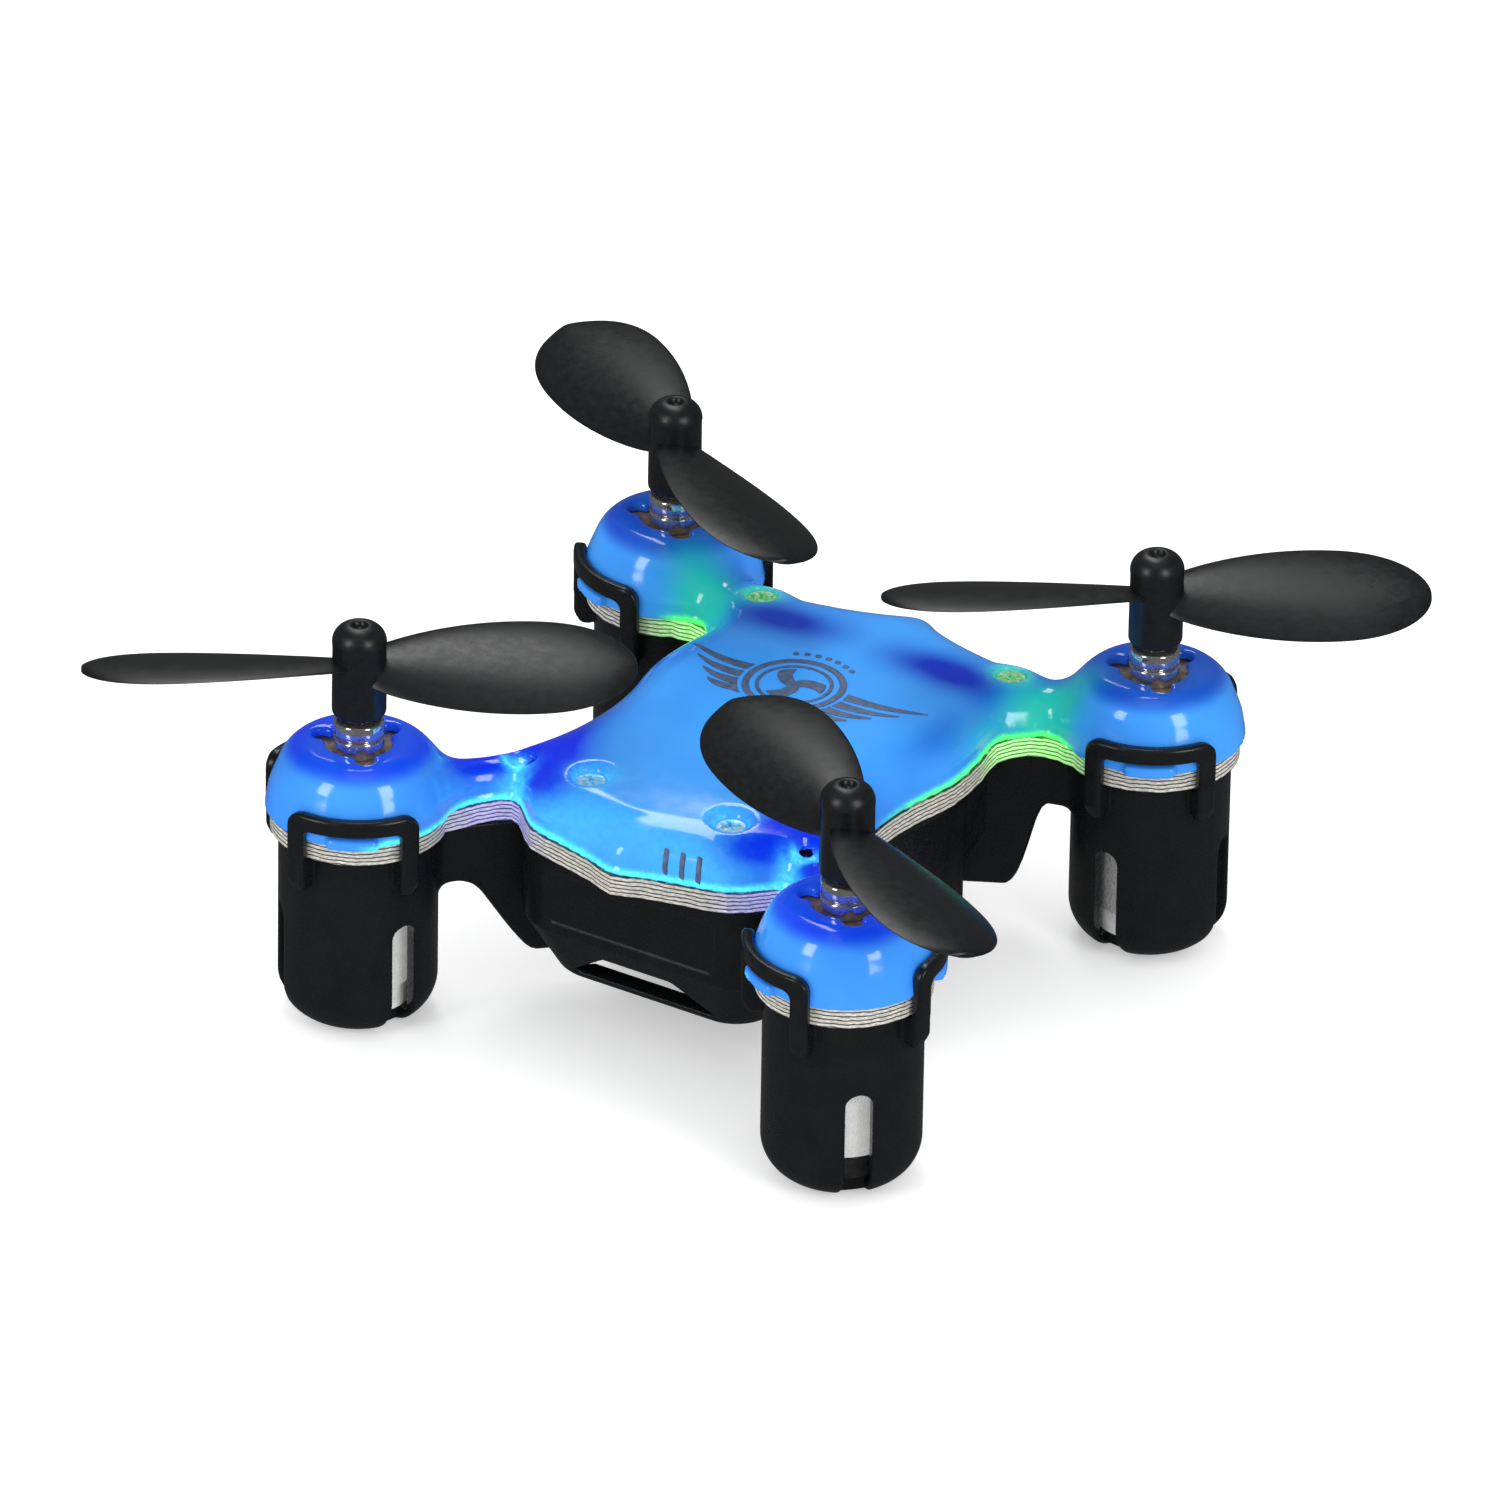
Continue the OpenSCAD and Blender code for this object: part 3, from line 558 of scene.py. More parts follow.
def canopy():
    """The canopy with its four motor caps, dimples, screw recesses and tabs."""
    low = np.array([-REACH, -REACH, BOARD_Z1 - 0.5])
    pitch = np.array([PITCH, PITCH, PITCH * 0.68])
    x, y, z = grid(low, (REACH, REACH, CAP_Z + 0.8), pitch)
    flat = outline_depth(x[:, :, 0], y[:, :, 0], outline_segments())
    sharp = blur(flat, 0.35 / PITCH)
    soft = blur(flat, 1.1 / PITCH)
    depth = (sharp + (soft - sharp) * smooth(0.4, 2.2, sharp))[:, :, None]
    rim = sharp[:, :, None]
    ax = np.abs(x)
    to_hub = np.hypot(ax - HUB, np.abs(y) - HUB)

    # The body rounds over from just inside the board's edge to a slightly domed top
    inset, flat_height, dome = 0.25, 2.5, 0.37
    round_width, round_height = 2.6, 1.85
    edge = depth - inset
    top = BOARD_Z1 + flat_height + dome * smooth(0, 7, edge)
    u = np.maximum(round_width - edge, 0) / round_width
    w = np.maximum(z - (top - round_height), 0) / round_height
    body = (np.sqrt(u * u + w * w) - 1) * round_height
    flange_inset, flange_height = 0.12, 0.28
    flange = both(flange_inset - rim, z - (BOARD_Z1 + flange_height), 0.1)
    body = join(body, flange, 0.35)

    # The motor caps taper upwards to a rounded crown
    cap_r, taper, crown = 4.70, 0.15, 1.4
    side = cap_r - taper * (z - BOARD_Z1)
    cap = np.hypot(np.maximum(to_hub - (side - crown), 0), np.maximum(z - (CAP_Z - crown), 0)) - crown
    solid = join(body, cap, 1.5)

    # Tabs that lie on the board inside the clips
    half_angle, tab_r, tab_half, tab_height = 16, 4.7, 0.85, 0.62
    tabs = np.full(to_hub.shape, OUTSIDE, np.float32)
    angle = np.degrees(np.arctan2(np.abs(y) - HUB, ax - HUB)) * np.where(y < 0, -1, 1)
    for end, here in (("front", y < 0), ("rear", y > 0)):
        for a in CLIPS[end]:
            off = np.abs((angle - a + 180) % 360 - 180)
            along = np.radians(off - half_angle) * to_hub
            sector = both(along, np.abs(to_hub - tab_r) - tab_half, 0.35)
            tabs = np.where(here, np.minimum(tabs, sector), tabs)
    solid = join(solid, both(tabs, z - (BOARD_Z1 + tab_height), 0.18), 0.15)

    # A low mound under each rear screw
    rear_screw = np.hypot(ax - SCREW_POINTS[1][0], y - SCREW_POINTS[1][1])
    mound = np.where(rear_screw < 3.2, 0.8 * (z - (CAP_Z - 1.5 - 0.22 * rear_screw**2)), OUTSIDE)
    solid = join(solid, mound.astype(np.float32), 0.7)

    # Dished recesses, screw holes and the small dimples over the front lamps
    for (px, py), wide_r, lift in (
        (SCREW_POINTS[0], 1.45, 0.85), (SCREW_POINTS[1], 1.45, 0.95), (DIMPLE, 1.25, 0.72),
    ):
        reach = np.hypot(ax - px, y - py)
        i, j = int((px - low[0]) / PITCH), int((py - low[1]) / PITCH)
        column = solid[i, j]
        level = float(z[0, 0, np.nonzero(column < 0)[0].max()])
        solid = carve(solid, np.sqrt(reach**2 + (z - level - lift) ** 2) - wide_r, 0.18)
    head_r, head_depth, shank_r = 0.92, 2.25, 0.5
    hole = np.min([np.hypot(ax - px, y - py) for px, py in SCREW_POINTS], axis=0)
    solid = carve(solid, np.maximum(hole - head_r, (CAP_Z - head_depth) - z), 0.10)
    solid = np.maximum(solid, shank_r - hole)

    # The motor's hollow, the opening in each cap and its three notches
    opening_r, notch_out, notch_r = 1.85, 2.15, 0.55
    opening = to_hub - opening_r
    turn = np.radians(NOTCH_ANGLE)
    for k in range(3):
        for sx, sy in CORNERS.values():
            a = turn + k * 2 * math.pi / 3
            nx, ny = sx * HUB, sy * HUB
            notch = np.hypot(x - nx - notch_out * math.cos(a), y - ny - notch_out * math.sin(a)) - notch_r
            opening = join(opening, notch, 0.15)
    solid = carve(solid, opening, 0.35)
    solid = np.maximum(solid, -both(to_hub - CAN_R - 0.12, z - CAN_Z1 - 0.06, 0.05))

    # The canopy is hollow over the board
    wall, roof, post_r = 1.05, 0.8, 1.15
    post = hole - post_r
    hollow = both(np.maximum(wall - edge, 0.3 + CAN_R + 0.7 - to_hub), z - (top - roof), 0.4)
    solid = np.maximum(solid, -np.maximum(hollow, -post))
    solid = np.maximum(solid, BOARD_Z1 - z)
    return solid.astype(np.float32), low, pitch, sharp


def canopy_painted_light(points, sharp):
    """Painted light and shade on the canopy at each point: painted dark-blue shade, and painted
    pale-blue, green and blue-green lamp light.
    """
    x, y, z = points.T
    ax = np.abs(x)
    depth = look_up(sharp, np.array(FLAT_LOW), np.array([PITCH, PITCH]), points[:, :2])
    to_hub = np.hypot(ax - HUB, np.abs(y) - HUB)
    # Painted shade: dark blue on the necks between the body and the caps, stronger at the front and away
    # from the rim, and in oval patches near the arms.
    front = smooth(1, -1, y)
    ridge = smooth(0.1, 1.2, depth)
    neck = np.exp(-0.5 * ((to_hub - np.where(y < 0, 6.7, 5.6)) / np.where(y < 0, 1.5, 1.1)) ** 2)
    painted_deep_shade = (1.25 * front + 0.6 * (1 - front)) * neck * (0.3 + 0.7 * ridge)
    painted_deep_shade += 1.15 * gauss(ax, y, 9.3, -9.0, 1.9, 1.7) * (0.3 + 0.7 * ridge)
    painted_deep_shade += 0.95 * gauss(ax, y, 8.2, -5.8, 1.1, 2.8, -6)
    painted_deep_shade += 1.0 * gauss(ax, y, 7.0, -11.3, 1.4, 1.9, 30) * ridge
    painted_deep_shade += 1.15 * gauss(ax, y, 5.3, 10.9, 2.7, 1.25)
    painted_deep_shade += 0.45 * gauss(ax, y, 8.6, 5.0, 0.8, 3.0)
    # Painted shade on the caps' crowns.
    crown = smooth(CAP_Z - 1.0, CAP_Z - 0.15, z)
    painted_deep_shade += 0.75 * crown
    # Painted glow: a thin cyan line along the front rim, a cyan ring and spot in each dimple over the
    # front lamps, cyan over the front screws and near the front necks, and a faint cyan band at the nose.
    dimple = np.hypot(ax - DIMPLE[0], y - DIMPLE[1])
    rim = smooth(0.9, 0.3, depth) * smooth(BOARD_Z1 + 0.5, BOARD_Z1 + 0.22, z)
    painted_cyan_glow = 1.1 * rim * smooth(-6.5, -8.5, y) * smooth(13.0, 11.5, ax)
    painted_cyan_glow += 0.9 * np.exp(-0.5 * ((dimple - 0.8) / 0.2) ** 2) * smooth(0.2, -0.5, y - DIMPLE[1])
    painted_cyan_glow += 0.9 * gauss(ax, y, *DIMPLE, 0.4, 0.35)
    painted_cyan_glow += 0.95 * gauss(ax, y, SCREW_POINTS[0][0], SCREW_POINTS[0][1], 0.8, 0.6)
    painted_cyan_glow += 0.9 * gauss(ax, y, 9.0, -11.3, 0.45, 0.9, 25)
    painted_cyan_glow += 0.16 * gauss(ax, y, 4.0, -12.9, 4.5, 1.0)
    # Painted glow: a green line along the rear rim and green over the rear screws.
    green = 1.2 * rim * smooth(-3.5, 4.5, y) * smooth(5.2, 8.5, ax) * smooth(14.0, 12.3, ax)
    green *= smooth(15.2, 13.2, y)
    green += 1.1 * gauss(ax, y, SCREW_POINTS[1][0], SCREW_POINTS[1][1], 0.65, 0.6)
    # Painted glow: teal patches near the rear necks.
    painted_teal_glow = 1.3 * gauss(ax, y, 11.4, 12.0, 1.4, 1.2, 30) + 0.45 * gauss(ax, y, 9.6, 9.0, 0.6, 2.0)
    lights = {"painted_deep_shade": painted_deep_shade, "painted_cyan_glow": painted_cyan_glow, "green": green, "painted_teal_glow": painted_teal_glow}
    return {name: np.clip(light, 0, 1) for name, light in lights.items()}


def ornament(x, y):
    """A generic winged wheel: a double ring, three swept vanes and a pair of feathered wings."""
    place_x, place_y, size = -0.6, 4.6, 1.2
    u, v = (x - place_x) / size, (y - place_y) / size
    r, a = np.hypot(u, v), np.arctan2(v, u)
    shape = np.abs(r - 2.25) - 0.17
    shape = np.minimum(shape, np.abs(r - 1.72) - 0.09)
    twist = np.mod(a + 0.55 * r, 2 * math.pi / 3) - math.pi / 3
    vane = both(np.abs(twist) * r - 0.30 - 0.10 * r, np.abs(r - 0.85) - 0.62, 0.1)
    shape = np.minimum(shape, vane)
    shape = np.minimum(shape, r - 0.22)
    side = np.abs(u)
    for k, (length, lift) in enumerate(((6.4, 0.35), (5.5, -0.42), (4.6, -1.12), (3.8, -1.72))):
        t = np.clip((side - 2.2) / (length - 2.2), 0, 1)
        spine = lift + (1.5 - 0.25 * k) * t * t - 0.5 * t
        width = 0.30 * (1 - t) ** 0.6 + 0.02
        feather = np.maximum(np.abs(v - spine) - width, np.maximum(2.62 - r, side - length))
        shape = np.minimum(shape, feather)
    arc = np.mod(a - math.pi / 2 + 0.09, 0.18) - 0.09
    dots = np.maximum(np.hypot(arc * r, r - 2.95) - 0.15, np.abs(a - math.pi / 2) - 0.62)
    return size * np.minimum(shape, dots)


def ticks(x, y):
    """Three short slanted bars near the nose."""
    shape = np.full(np.broadcast(x, y).shape, OUTSIDE, np.float32)
    for k in range(3):
        u = x - (2.7 + 0.95 * k)
        v = y + 13.35 - 0.18 * k
        shape = np.minimum(shape, np.maximum(np.abs(u + 0.35 * v) - 0.16, np.abs(v) - 0.26))
    return shape


def printed(name, pattern, low, high, skin, material):
    """A thin print that lies on the canopy's outer surface, given as a search tree."""
    pitch = np.array([0.06, 0.06, 0.02])
    reach, half_thick, rise = 0.08, 0.03, 0.02
    x, y, _ = grid((*low, 0), (*high, 1), pitch)
    lift = np.arange(-reach, reach + 0.0001, pitch[2], dtype=np.float32)[None, None, :]
    field = np.maximum(pattern(x, y), np.abs(lift) - half_thick)
    vertices, faces, _ = skin_of(field.astype(np.float32), (*low, -reach), pitch)
    for vertex in vertices:
        spot, normal, _, _ = skin.ray_cast(Vector((vertex[0], vertex[1], 30)), Vector((0, 0, -1)))
        vertex[:] = spot + normal * float(rise + vertex[2])
    return make_piece(name, vertices, faces, material)


# ---------- bottom shell ----------

# Directions of the pods' slots in degrees, and of the arms as they leave each left motor axis
SLOTS = {"front": (-45, 75, 200), "rear": (12, 140, 267)}
ARMS = {"front": (-6.15, 6.35), "rear": (-6.35, -3.15)}
POD_R = BOARD_R - 0.45

# The arms' undersides: height at each distance from the motor's axis
UNDERSIDES = {
    "front": [
        (0, 7.9), (3.7, 7.8), (5.5, 7.95), (6.4, 7.5),
        (7.35, 6.0), (8.4, 4.4), (9.4, 3.15), (13.2, 3.1),
    ],
    "rear": [
        (0, 8.1), (4.5, 8.25), (5.9, 8.4), (6.25, 7.2),
        (6.6, 5.6), (6.95, 4.4), (7.5, 3.15), (10.5, 3.1),
    ],
}


def capsule(u, v, u0, v0, v1, r):
    """2-D distance to a segment of length v1 - v0 along v, at u0, less r."""
    return np.hypot(u - u0, v - np.clip(v, v0, v1)) - r


def pod(end):
    """A motor pod with its slots, its two retaining clips and its arm, about its own motor axis."""
    low = np.array([-10.6, -6.6, -0.6])
    high = np.array([6.6, 10.9 if end == "front" else 6.6, BOARD_Z1 + 2.4])
    pitch = np.full(3, 0.13)
    x, y, z = grid(low, high, pitch)
    r = np.hypot(x, y)
    foot, arm_half = 2.4, 1.5
    body = np.hypot(np.maximum(r - (POD_R - foot), 0), np.maximum(foot - z, 0)) - foot
    body = both(body, z - BOARD_Z0 + 0.02, 0.12)

    ux, uy = ARMS[end]
    size = math.hypot(ux, uy)
    along = (x * ux + y * uy) / size
    across = np.abs(-x * uy + y * ux) / size
    reach, height = np.array(UNDERSIDES[end]).T

    def level(a):
        return sum(np.interp(a + d, reach, height) for d in (-0.3, 0, 0.3)) / 3

    slope = (level(along + 0.2) - level(along - 0.2)) / 0.4
    under = (level(along) - z) / np.hypot(1, slope)
    arm = both(np.maximum(across - arm_half, along - reach[-1]), under, 0.35)
    arm = both(arm, z - BOARD_Z0 + 0.02, 0.1)
    arm = np.maximum(arm, 2.0 - along)
    solid = join(body, arm, 0.7)
    side = -1 if end == "front" else 1
    solid = np.maximum(solid, -tray_hollow(np.abs(x + HUB), y + side * HUB, z))

    # Clips: a loop with rounded corners round the pod's axis
    for a in CLIPS[end]:
        theta = np.degrees(np.arctan2(y, x))
        off = (theta - a + 180) % 360 - 180
        u = np.radians(off) * 5.2
        half, top_z, low_z, bar = 3.75, BOARD_Z1 + 1.8, BOARD_Z0 - 2.1, 1.0
        outer = both(np.abs(u) - half, z - top_z, 0.9)
        inner = both(np.abs(u) - (half - 1.05), z - (top_z - bar), 0.45)
        legs = np.maximum(outer, -inner)
        legs = np.maximum(legs, low_z - z)
        tips = capsule(np.abs(u), z, half - 0.52, low_z + 0.5, top_z - 2, 0.52)
        legs = np.where(z < low_z + 0.5, tips, legs)
        radial = np.where(z > BOARD_Z0 - 0.05, np.abs(r - 5.26) - 0.34, np.abs(r - 4.85) - 0.72)
        lean = smooth(low_z + 1.0, low_z, z) * 0.35
        loop = both(legs, radial + lean, 0.2)
        solid = join(solid, loop, 0.12)

    # The motor's bore over the pod's floor, the collar that holds the can, and the slots
    bore_r, floor_z, slot_half, slot_top = 3.5, 1.1, 0.75, 6.2
    bore = np.maximum(r - bore_r, floor_z - z)
    solid = np.maximum(solid, -bore)
    collar = both(r - POD_R + 0.4, np.abs(z - 9.7) - 0.6, 0.05)
    solid = np.minimum(solid, np.maximum(collar, CAN_R + 0.03 - r))
    slots = np.full(solid.shape, OUTSIDE, np.float32)
    for a in SLOTS[end]:
        c, s = math.cos(math.radians(a)), math.sin(math.radians(a))
        out, wide = x * c + y * s, np.abs(-x * s + y * c)
        slot = np.hypot(wide, np.maximum(z - slot_top, 0)) - slot_half
        slots = np.minimum(slots, np.maximum(slot, 2.5 - out))
    solid = carve(solid, slots, 0.16)
    # The lead channel along the arm
    channel = np.maximum(np.maximum(across - 0.9, 9.0 - z), np.maximum(2.6 - along, along - 6.9))
    solid = np.maximum(solid, -channel)
    return skin_of(solid.astype(np.float32), low, pitch)


TRAY_Z, TRAY_FLOOR, TRAY_WALL, CHAMFER_HEIGHT = 3.0, 3.9, 0.9, 3.6


def tray_form(ax, y, z, grown):
    """The tray's outer form, or its hollow when grown is negative, widening over its lower chamfer."""
    t = np.clip((z - TRAY_Z) / CHAMFER_HEIGHT, 0, 1)
    half, y0, y1, r = 6.6 + 1.8 * t, -10.9 - 1.7 * t, 12 + 2 * t, 2.4 + 0.6 * t
    qx = ax - (half + grown - r)
    qy = np.abs(y - (y0 + y1) / 2) - ((y1 - y0) / 2 + grown - r)
    return 0.86 * (np.minimum(np.maximum(qx, qy), 0) + np.hypot(np.maximum(qx, 0), np.maximum(qy, 0)) - r)


def tray_hollow(ax, y, z):
    """The room inside the tray, over its floor."""
    return np.maximum(tray_form(ax, y, z, -TRAY_WALL), TRAY_FLOOR - z)


def tray(segments):
    """The body tray under the board, with its deck, windows and openings."""
    low = np.array([-15.5, -17.0, 2.4])
    pitch = np.full(3, 0.16)
    x, y, z = grid(low, (15.5, 18.9, BOARD_Z0 + 0.6), pitch)
    ax = np.abs(x)
    outside = both(tray_form(ax, y, z, 0), TRAY_Z - z, 0.5)
    walls = both(both(ax - 8.6, np.abs(y - 2.5) - 5.7, 0.5), np.abs(z - 6.8) - 3.7, 0.3)
    outside = join(outside, walls, 0.3)
    # A shallow recess in the front wall
    recess = both(ax - 5.3, np.abs(z - 8.7) - 1.5, 0.2)
    outside = carve(outside, np.maximum(recess, y + 12.5), 0.12)
    hollow = tray_hollow(ax, y, z)
    solid = np.maximum(outside, -hollow)
    depth = outline_depth(x[:, :, 0], y[:, :, 0], segments)
    deck = both(0.62 - blur(depth, 1.5)[:, :, None], np.abs(z - (BOARD_Z0 - 0.45)) - 0.43, 0.08)
    to_hub = np.hypot(ax - HUB, np.abs(y) - HUB)
    deck = np.maximum(deck, 3.6 - to_hub)
    # It ends inside the pods, short of the grid's sides, so that its surface is closed
    deck = np.maximum(deck, np.maximum(ax - 15.2, np.abs(y - 0.95) - 17.65))
    solid = join(solid, deck, 0.25)
    solid = np.maximum(solid, -np.maximum(np.maximum(ax - 7, np.abs(y - 2.3) - 10.7), 9.5 - z))
    for px, py in SCREW_POINTS:
        post = np.maximum(np.hypot(ax - px, y - py) - 1.15, (BOARD_Z0 - 3.4) - z)
        solid = np.minimum(solid, np.maximum(post, z - BOARD_Z0 + 0.03))
        solid = np.maximum(solid, 0.4 - np.hypot(ax - px, y - py))
    # The battery's opening below, the slanting window under the nose, the switch and the socket
    solid = np.maximum(solid, -np.maximum(np.maximum(ax - 5.2, np.abs(y + 0.5) - 9.3), z - 4.2))
    slant = (ax - (4.6 - 2.4 * (z - 3.7) / 1.7)) * 0.58
    window = np.maximum(np.maximum(slant, np.abs(z - 4.55) - 0.85), y + 9.4)
    solid = carve(solid, window, 0.2)
    knob = np.maximum(np.maximum(np.abs(x - 3.6) - 1.75, np.abs(z - 9.9) - 0.6), 12.8 - y)
    port = np.maximum(np.maximum(np.abs(x + 3.4) - 1.6, np.abs(z - 9.45) - 0.95), 12.8 - y)
    solid = carve(solid, np.minimum(knob, port), 0.12)
    solid = np.maximum(solid, z - BOARD_Z0 + 0.02)
    return skin_of(solid.astype(np.float32), low, pitch)


# ---------- propellers and motors ----------

def lathe(profile, sides=72, capped=False):
    """Vertices and faces of a profile of (radius, z) turned about Z, its two ends closed if capped."""
    profile = np.asarray(profile, float)
    a = np.arange(sides) * 2 * math.pi / sides
    vertices = np.stack([
        np.outer(profile[:, 0], np.cos(a)), np.outer(profile[:, 0], np.sin(a)),
        np.repeat(profile[:, 1][:, None], sides, 1),
    ], -1).reshape(-1, 3)
    faces = []
    for k in range(len(profile) - 1):
        for i in range(sides):
            j = (i + 1) % sides
            faces.append([k * sides + i, k * sides + j, (k + 1) * sides + j, (k + 1) * sides + i])
    if capped:
        last = (len(profile) - 1) * sides
        faces += [list(range(sides))[::-1], list(range(last, last + sides))]
    return vertices, faces


def arc(cx, cz, r, start, end, steps=8):
    """Profile points along an arc between two angles in degrees."""
    return [
        (cx + r * math.cos(math.radians(start + (end - start) * k / steps)),
         cz + r * math.sin(math.radians(start + (end - start) * k / steps)))
        for k in range(steps + 1)
    ]


# Each propeller's angle at rest in degrees, and its sense of turning
REST = {"front_left": (-33, -1), "front_right": (35, 1), "rear_left": (35, 1), "rear_right": (-33, -1)}
BLADE_R = 15.15
BLADE_Z = CAP_Z + 4.4


def blade(spin, sections=56, around=40):
    """One blade along +X: a thin cambered section, twisted, with a round tip."""
    r0, root, chord, widest = 0.3, 2.3, 7.2, 0.62
    root_twist, twist_loss, camber = 21, 8, 0.06
    rings = []
    for k in range(sections):
        t = 0.9985 * math.sin(math.pi / 2 * k / (sections - 1))
        if t < widest:
            c = root + (chord - root) * math.sin(math.pi / 2 * t / widest) ** 0.75
        else:
            c = chord * math.sqrt(1 - ((t - widest) / (1 - widest)) ** 2.3)
        pitch = math.radians(spin * (root_twist - twist_loss * t))
        a = np.arange(around) * 2 * math.pi / around
        s = np.cos(a)
        thick = (0.75 - 0.4 * t) * min(1.0, c / 1.2)
        across = 0.5 * c * s
        up = camber * c * (1 - s * s) + 0.5 * thick * np.sin(a) * (0.35 + 0.65 * np.abs(np.sin(a)))
        r = r0 + (BLADE_R - r0) * t
        rings.append(np.stack([
            np.full(around, r), across * math.cos(pitch) - up * math.sin(pitch),
            BLADE_Z + across * math.sin(pitch) + up * math.cos(pitch),
        ], 1))
    vertices = np.concatenate(rings)
    faces = []
    for k in range(sections - 1):
        for i in range(around):
            j = (i + 1) % around
            faces.append([(k + 1) * around + j, (k + 1) * around + i, k * around + i, k * around + j])
    faces.append(list(range((sections - 1) * around, sections * around)))
    faces.append(list(range(around))[::-1])
    return vertices, faces


def propeller(corner, material):
    """A hub with its dished top and shaft bore, and two blades, turning with its rotor."""
    angle, spin = REST[corner]
    sx, sy = CORNERS[corner]
    z0, z1, hub_r = PROP_LOW[2], PROP_HIGH[2], 1.5
    profile = [(0.42, SHAFT_TOP + 0.05), (0.42, z0)] + arc(hub_r - 0.3, z0 + 0.3, 0.3, -90, 0, 4)
    profile += [(hub_r, z0 + 1.2), (hub_r - 0.02, z1 - 1.35)]
    profile += arc(hub_r - 1.02, z1 - 1.05, 1.03, 0, 84, 12)
    profile += [(0.46, z1 - 0.03), (0.40, z1 - 0.10), (0.36, z1 - 0.34)]
    vertices, faces = lathe(profile, capped=True)
    count = len(vertices)
    for turn in (0, 180):
        v, f = blade(spin)
        c, s = math.cos(math.radians(turn)), math.sin(math.radians(turn))
        v = np.stack([v[:, 0] * c - v[:, 1] * s, v[:, 0] * s + v[:, 1] * c, v[:, 2]], 1)
        vertices = np.concatenate([vertices, v])
        faces += [[i + count for i in face] for face in f]
        count = len(vertices)
    c, s = math.cos(math.radians(angle)), math.sin(math.radians(angle))
    vertices = np.stack([
        vertices[:, 0] * c - vertices[:, 1] * s + sx * HUB,
        vertices[:, 0] * s + vertices[:, 1] * c + sy * HUB,
        vertices[:, 2],
    ], 1)
    piece = make_piece(f"propeller_{corner}_skin", vertices, faces, material, f"rotor_{corner}")
    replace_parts(piece, f"propeller_{corner}")
    return piece


def boss(corner, material):
    """The bright bearing boss on top of the motor: two turned rings with a groove between them."""
    sx, sy = CORNERS[corner]
    z0, z1 = BOSS_LOW[2], BOSS_HIGH[2]
    r = (BOSS_HIGH[0] - BOSS_LOW[0]) / 2
    groove = CAP_Z + 0.35
    profile = [(0.45, z0), (0.98, z0), (0.98, CAN_Z1), (r - 0.08, CAN_Z1)]
    profile += arc(r - 0.08, CAN_Z1 + 0.1, 0.08, -90, 0, 3) + arc(r - 0.12, groove - 0.12, 0.12, 0, 90, 4)
    profile += [(r - 0.26, groove), (r - 0.26, groove + 0.14)]
    profile += arc(r - 0.12, groove + 0.26, 0.12, -90, 0, 4) + arc(r - 0.16, z1 - 0.18, 0.16, 0, 90, 5)
    profile += [(0.52, z1), (0.45, z1 - 0.06), (0.45, z0)]
    vertices, faces = lathe(profile, 64)
    vertices = vertices + np.array([sx * HUB, sy * HUB, 0])
    piece = make_piece(f"bearing_boss_{corner}", vertices, faces, material)
    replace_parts(piece, f"motor_boss_{corner}")


# ---------- studio ----------

def soft_box(name, azimuth, elevation, distance, size, watts):
    """A rectangular lamp that faces the object."""
    lamp = bpy.data.lights.new(name, "AREA")
    lamp.shape, lamp.size, lamp.size_y, lamp.energy = "RECTANGLE", size[0], size[1], watts
    a, e = math.radians(azimuth), math.radians(elevation)
    back = Vector((math.sin(a) * math.cos(e), -math.cos(a) * math.cos(e), math.sin(e)))
    made = bpy.data.objects.new(name, lamp)
    made.location = Vector((0, 0, 0.012)) + back * distance
    made.rotation_mode = "QUATERNION"
    made.rotation_quaternion = back.to_track_quat("Z", "Y")
    made.visible_camera = False
    bpy.context.scene.collection.objects.link(made)


def studio():
    """An even white surround, a pale floor and four soft lamps."""
    world = bpy.data.worlds.new("studio")
    world.use_nodes = True
    tree = world.node_tree
    back = tree.nodes["Background"]
    path = tree.nodes.new("ShaderNodeLightPath")
    mix = tree.nodes.new("ShaderNodeMix")
    mix.data_type = "FLOAT"
    mix.inputs[2].default_value, mix.inputs[3].default_value = 1.05, 0.09
    tree.links.new(path.outputs["Is Glossy Ray"], mix.inputs[0])
    tree.links.new(mix.outputs[0], back.inputs["Strength"])
    back.inputs["Color"].default_value = (1, 1, 1, 1)
    bpy.context.scene.world = world
    bpy.context.scene.view_settings.view_transform = "Standard"

    n = Nodes("floor_white")
    material = n.finish(
        Base_Color=n.mix(n.noise(0.02, 2.0), (0.78, 0.78, 0.78), (0.80, 0.80, 0.80)), Roughness=0.9,
        Normal=n.bump(n.noise(0.4, 2.0), 0.02, 0.05), Emission_Color=(1, 1, 1), Emission_Strength=0.35,
    )
    mesh = bpy.data.meshes.new("floor")
    mesh.from_pydata([(-3, -3, 0), (3, -3, 0), (3, 3, 0), (-3, 3, 0)], [], [(0, 1, 2, 3)])
    mesh.materials.append(material)
    floor = bpy.data.objects.new("floor", mesh)
    bpy.context.scene.collection.objects.link(floor)
    floor.location.z = -0.00002
    floor.visible_glossy = False

    facing = 32
    soft_box("box_left", facing - 50, 26, 0.55, (0.14, 0.28), 0.75)
    soft_box("box_right", facing + 40, 26, 0.55, (0.16, 0.28), 0.85)
    soft_box("box_top", facing + 189, 58, 0.6, (0.15, 0.42), 0.95)
    soft_box("box_over", facing, 80, 0.6, (0.30, 0.30), 0.08)


# ---------- the drone ----------

def repaint(material, *names):
    """Gives CAD nodes a material in place of their own."""
    for name in names:
        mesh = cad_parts[name].data
        mesh.materials.clear()
        mesh.materials.append(material)


def each(part):
    """The names of a part at the four corners."""
    return [f"{part}_{corner}" for corner in CORNERS]


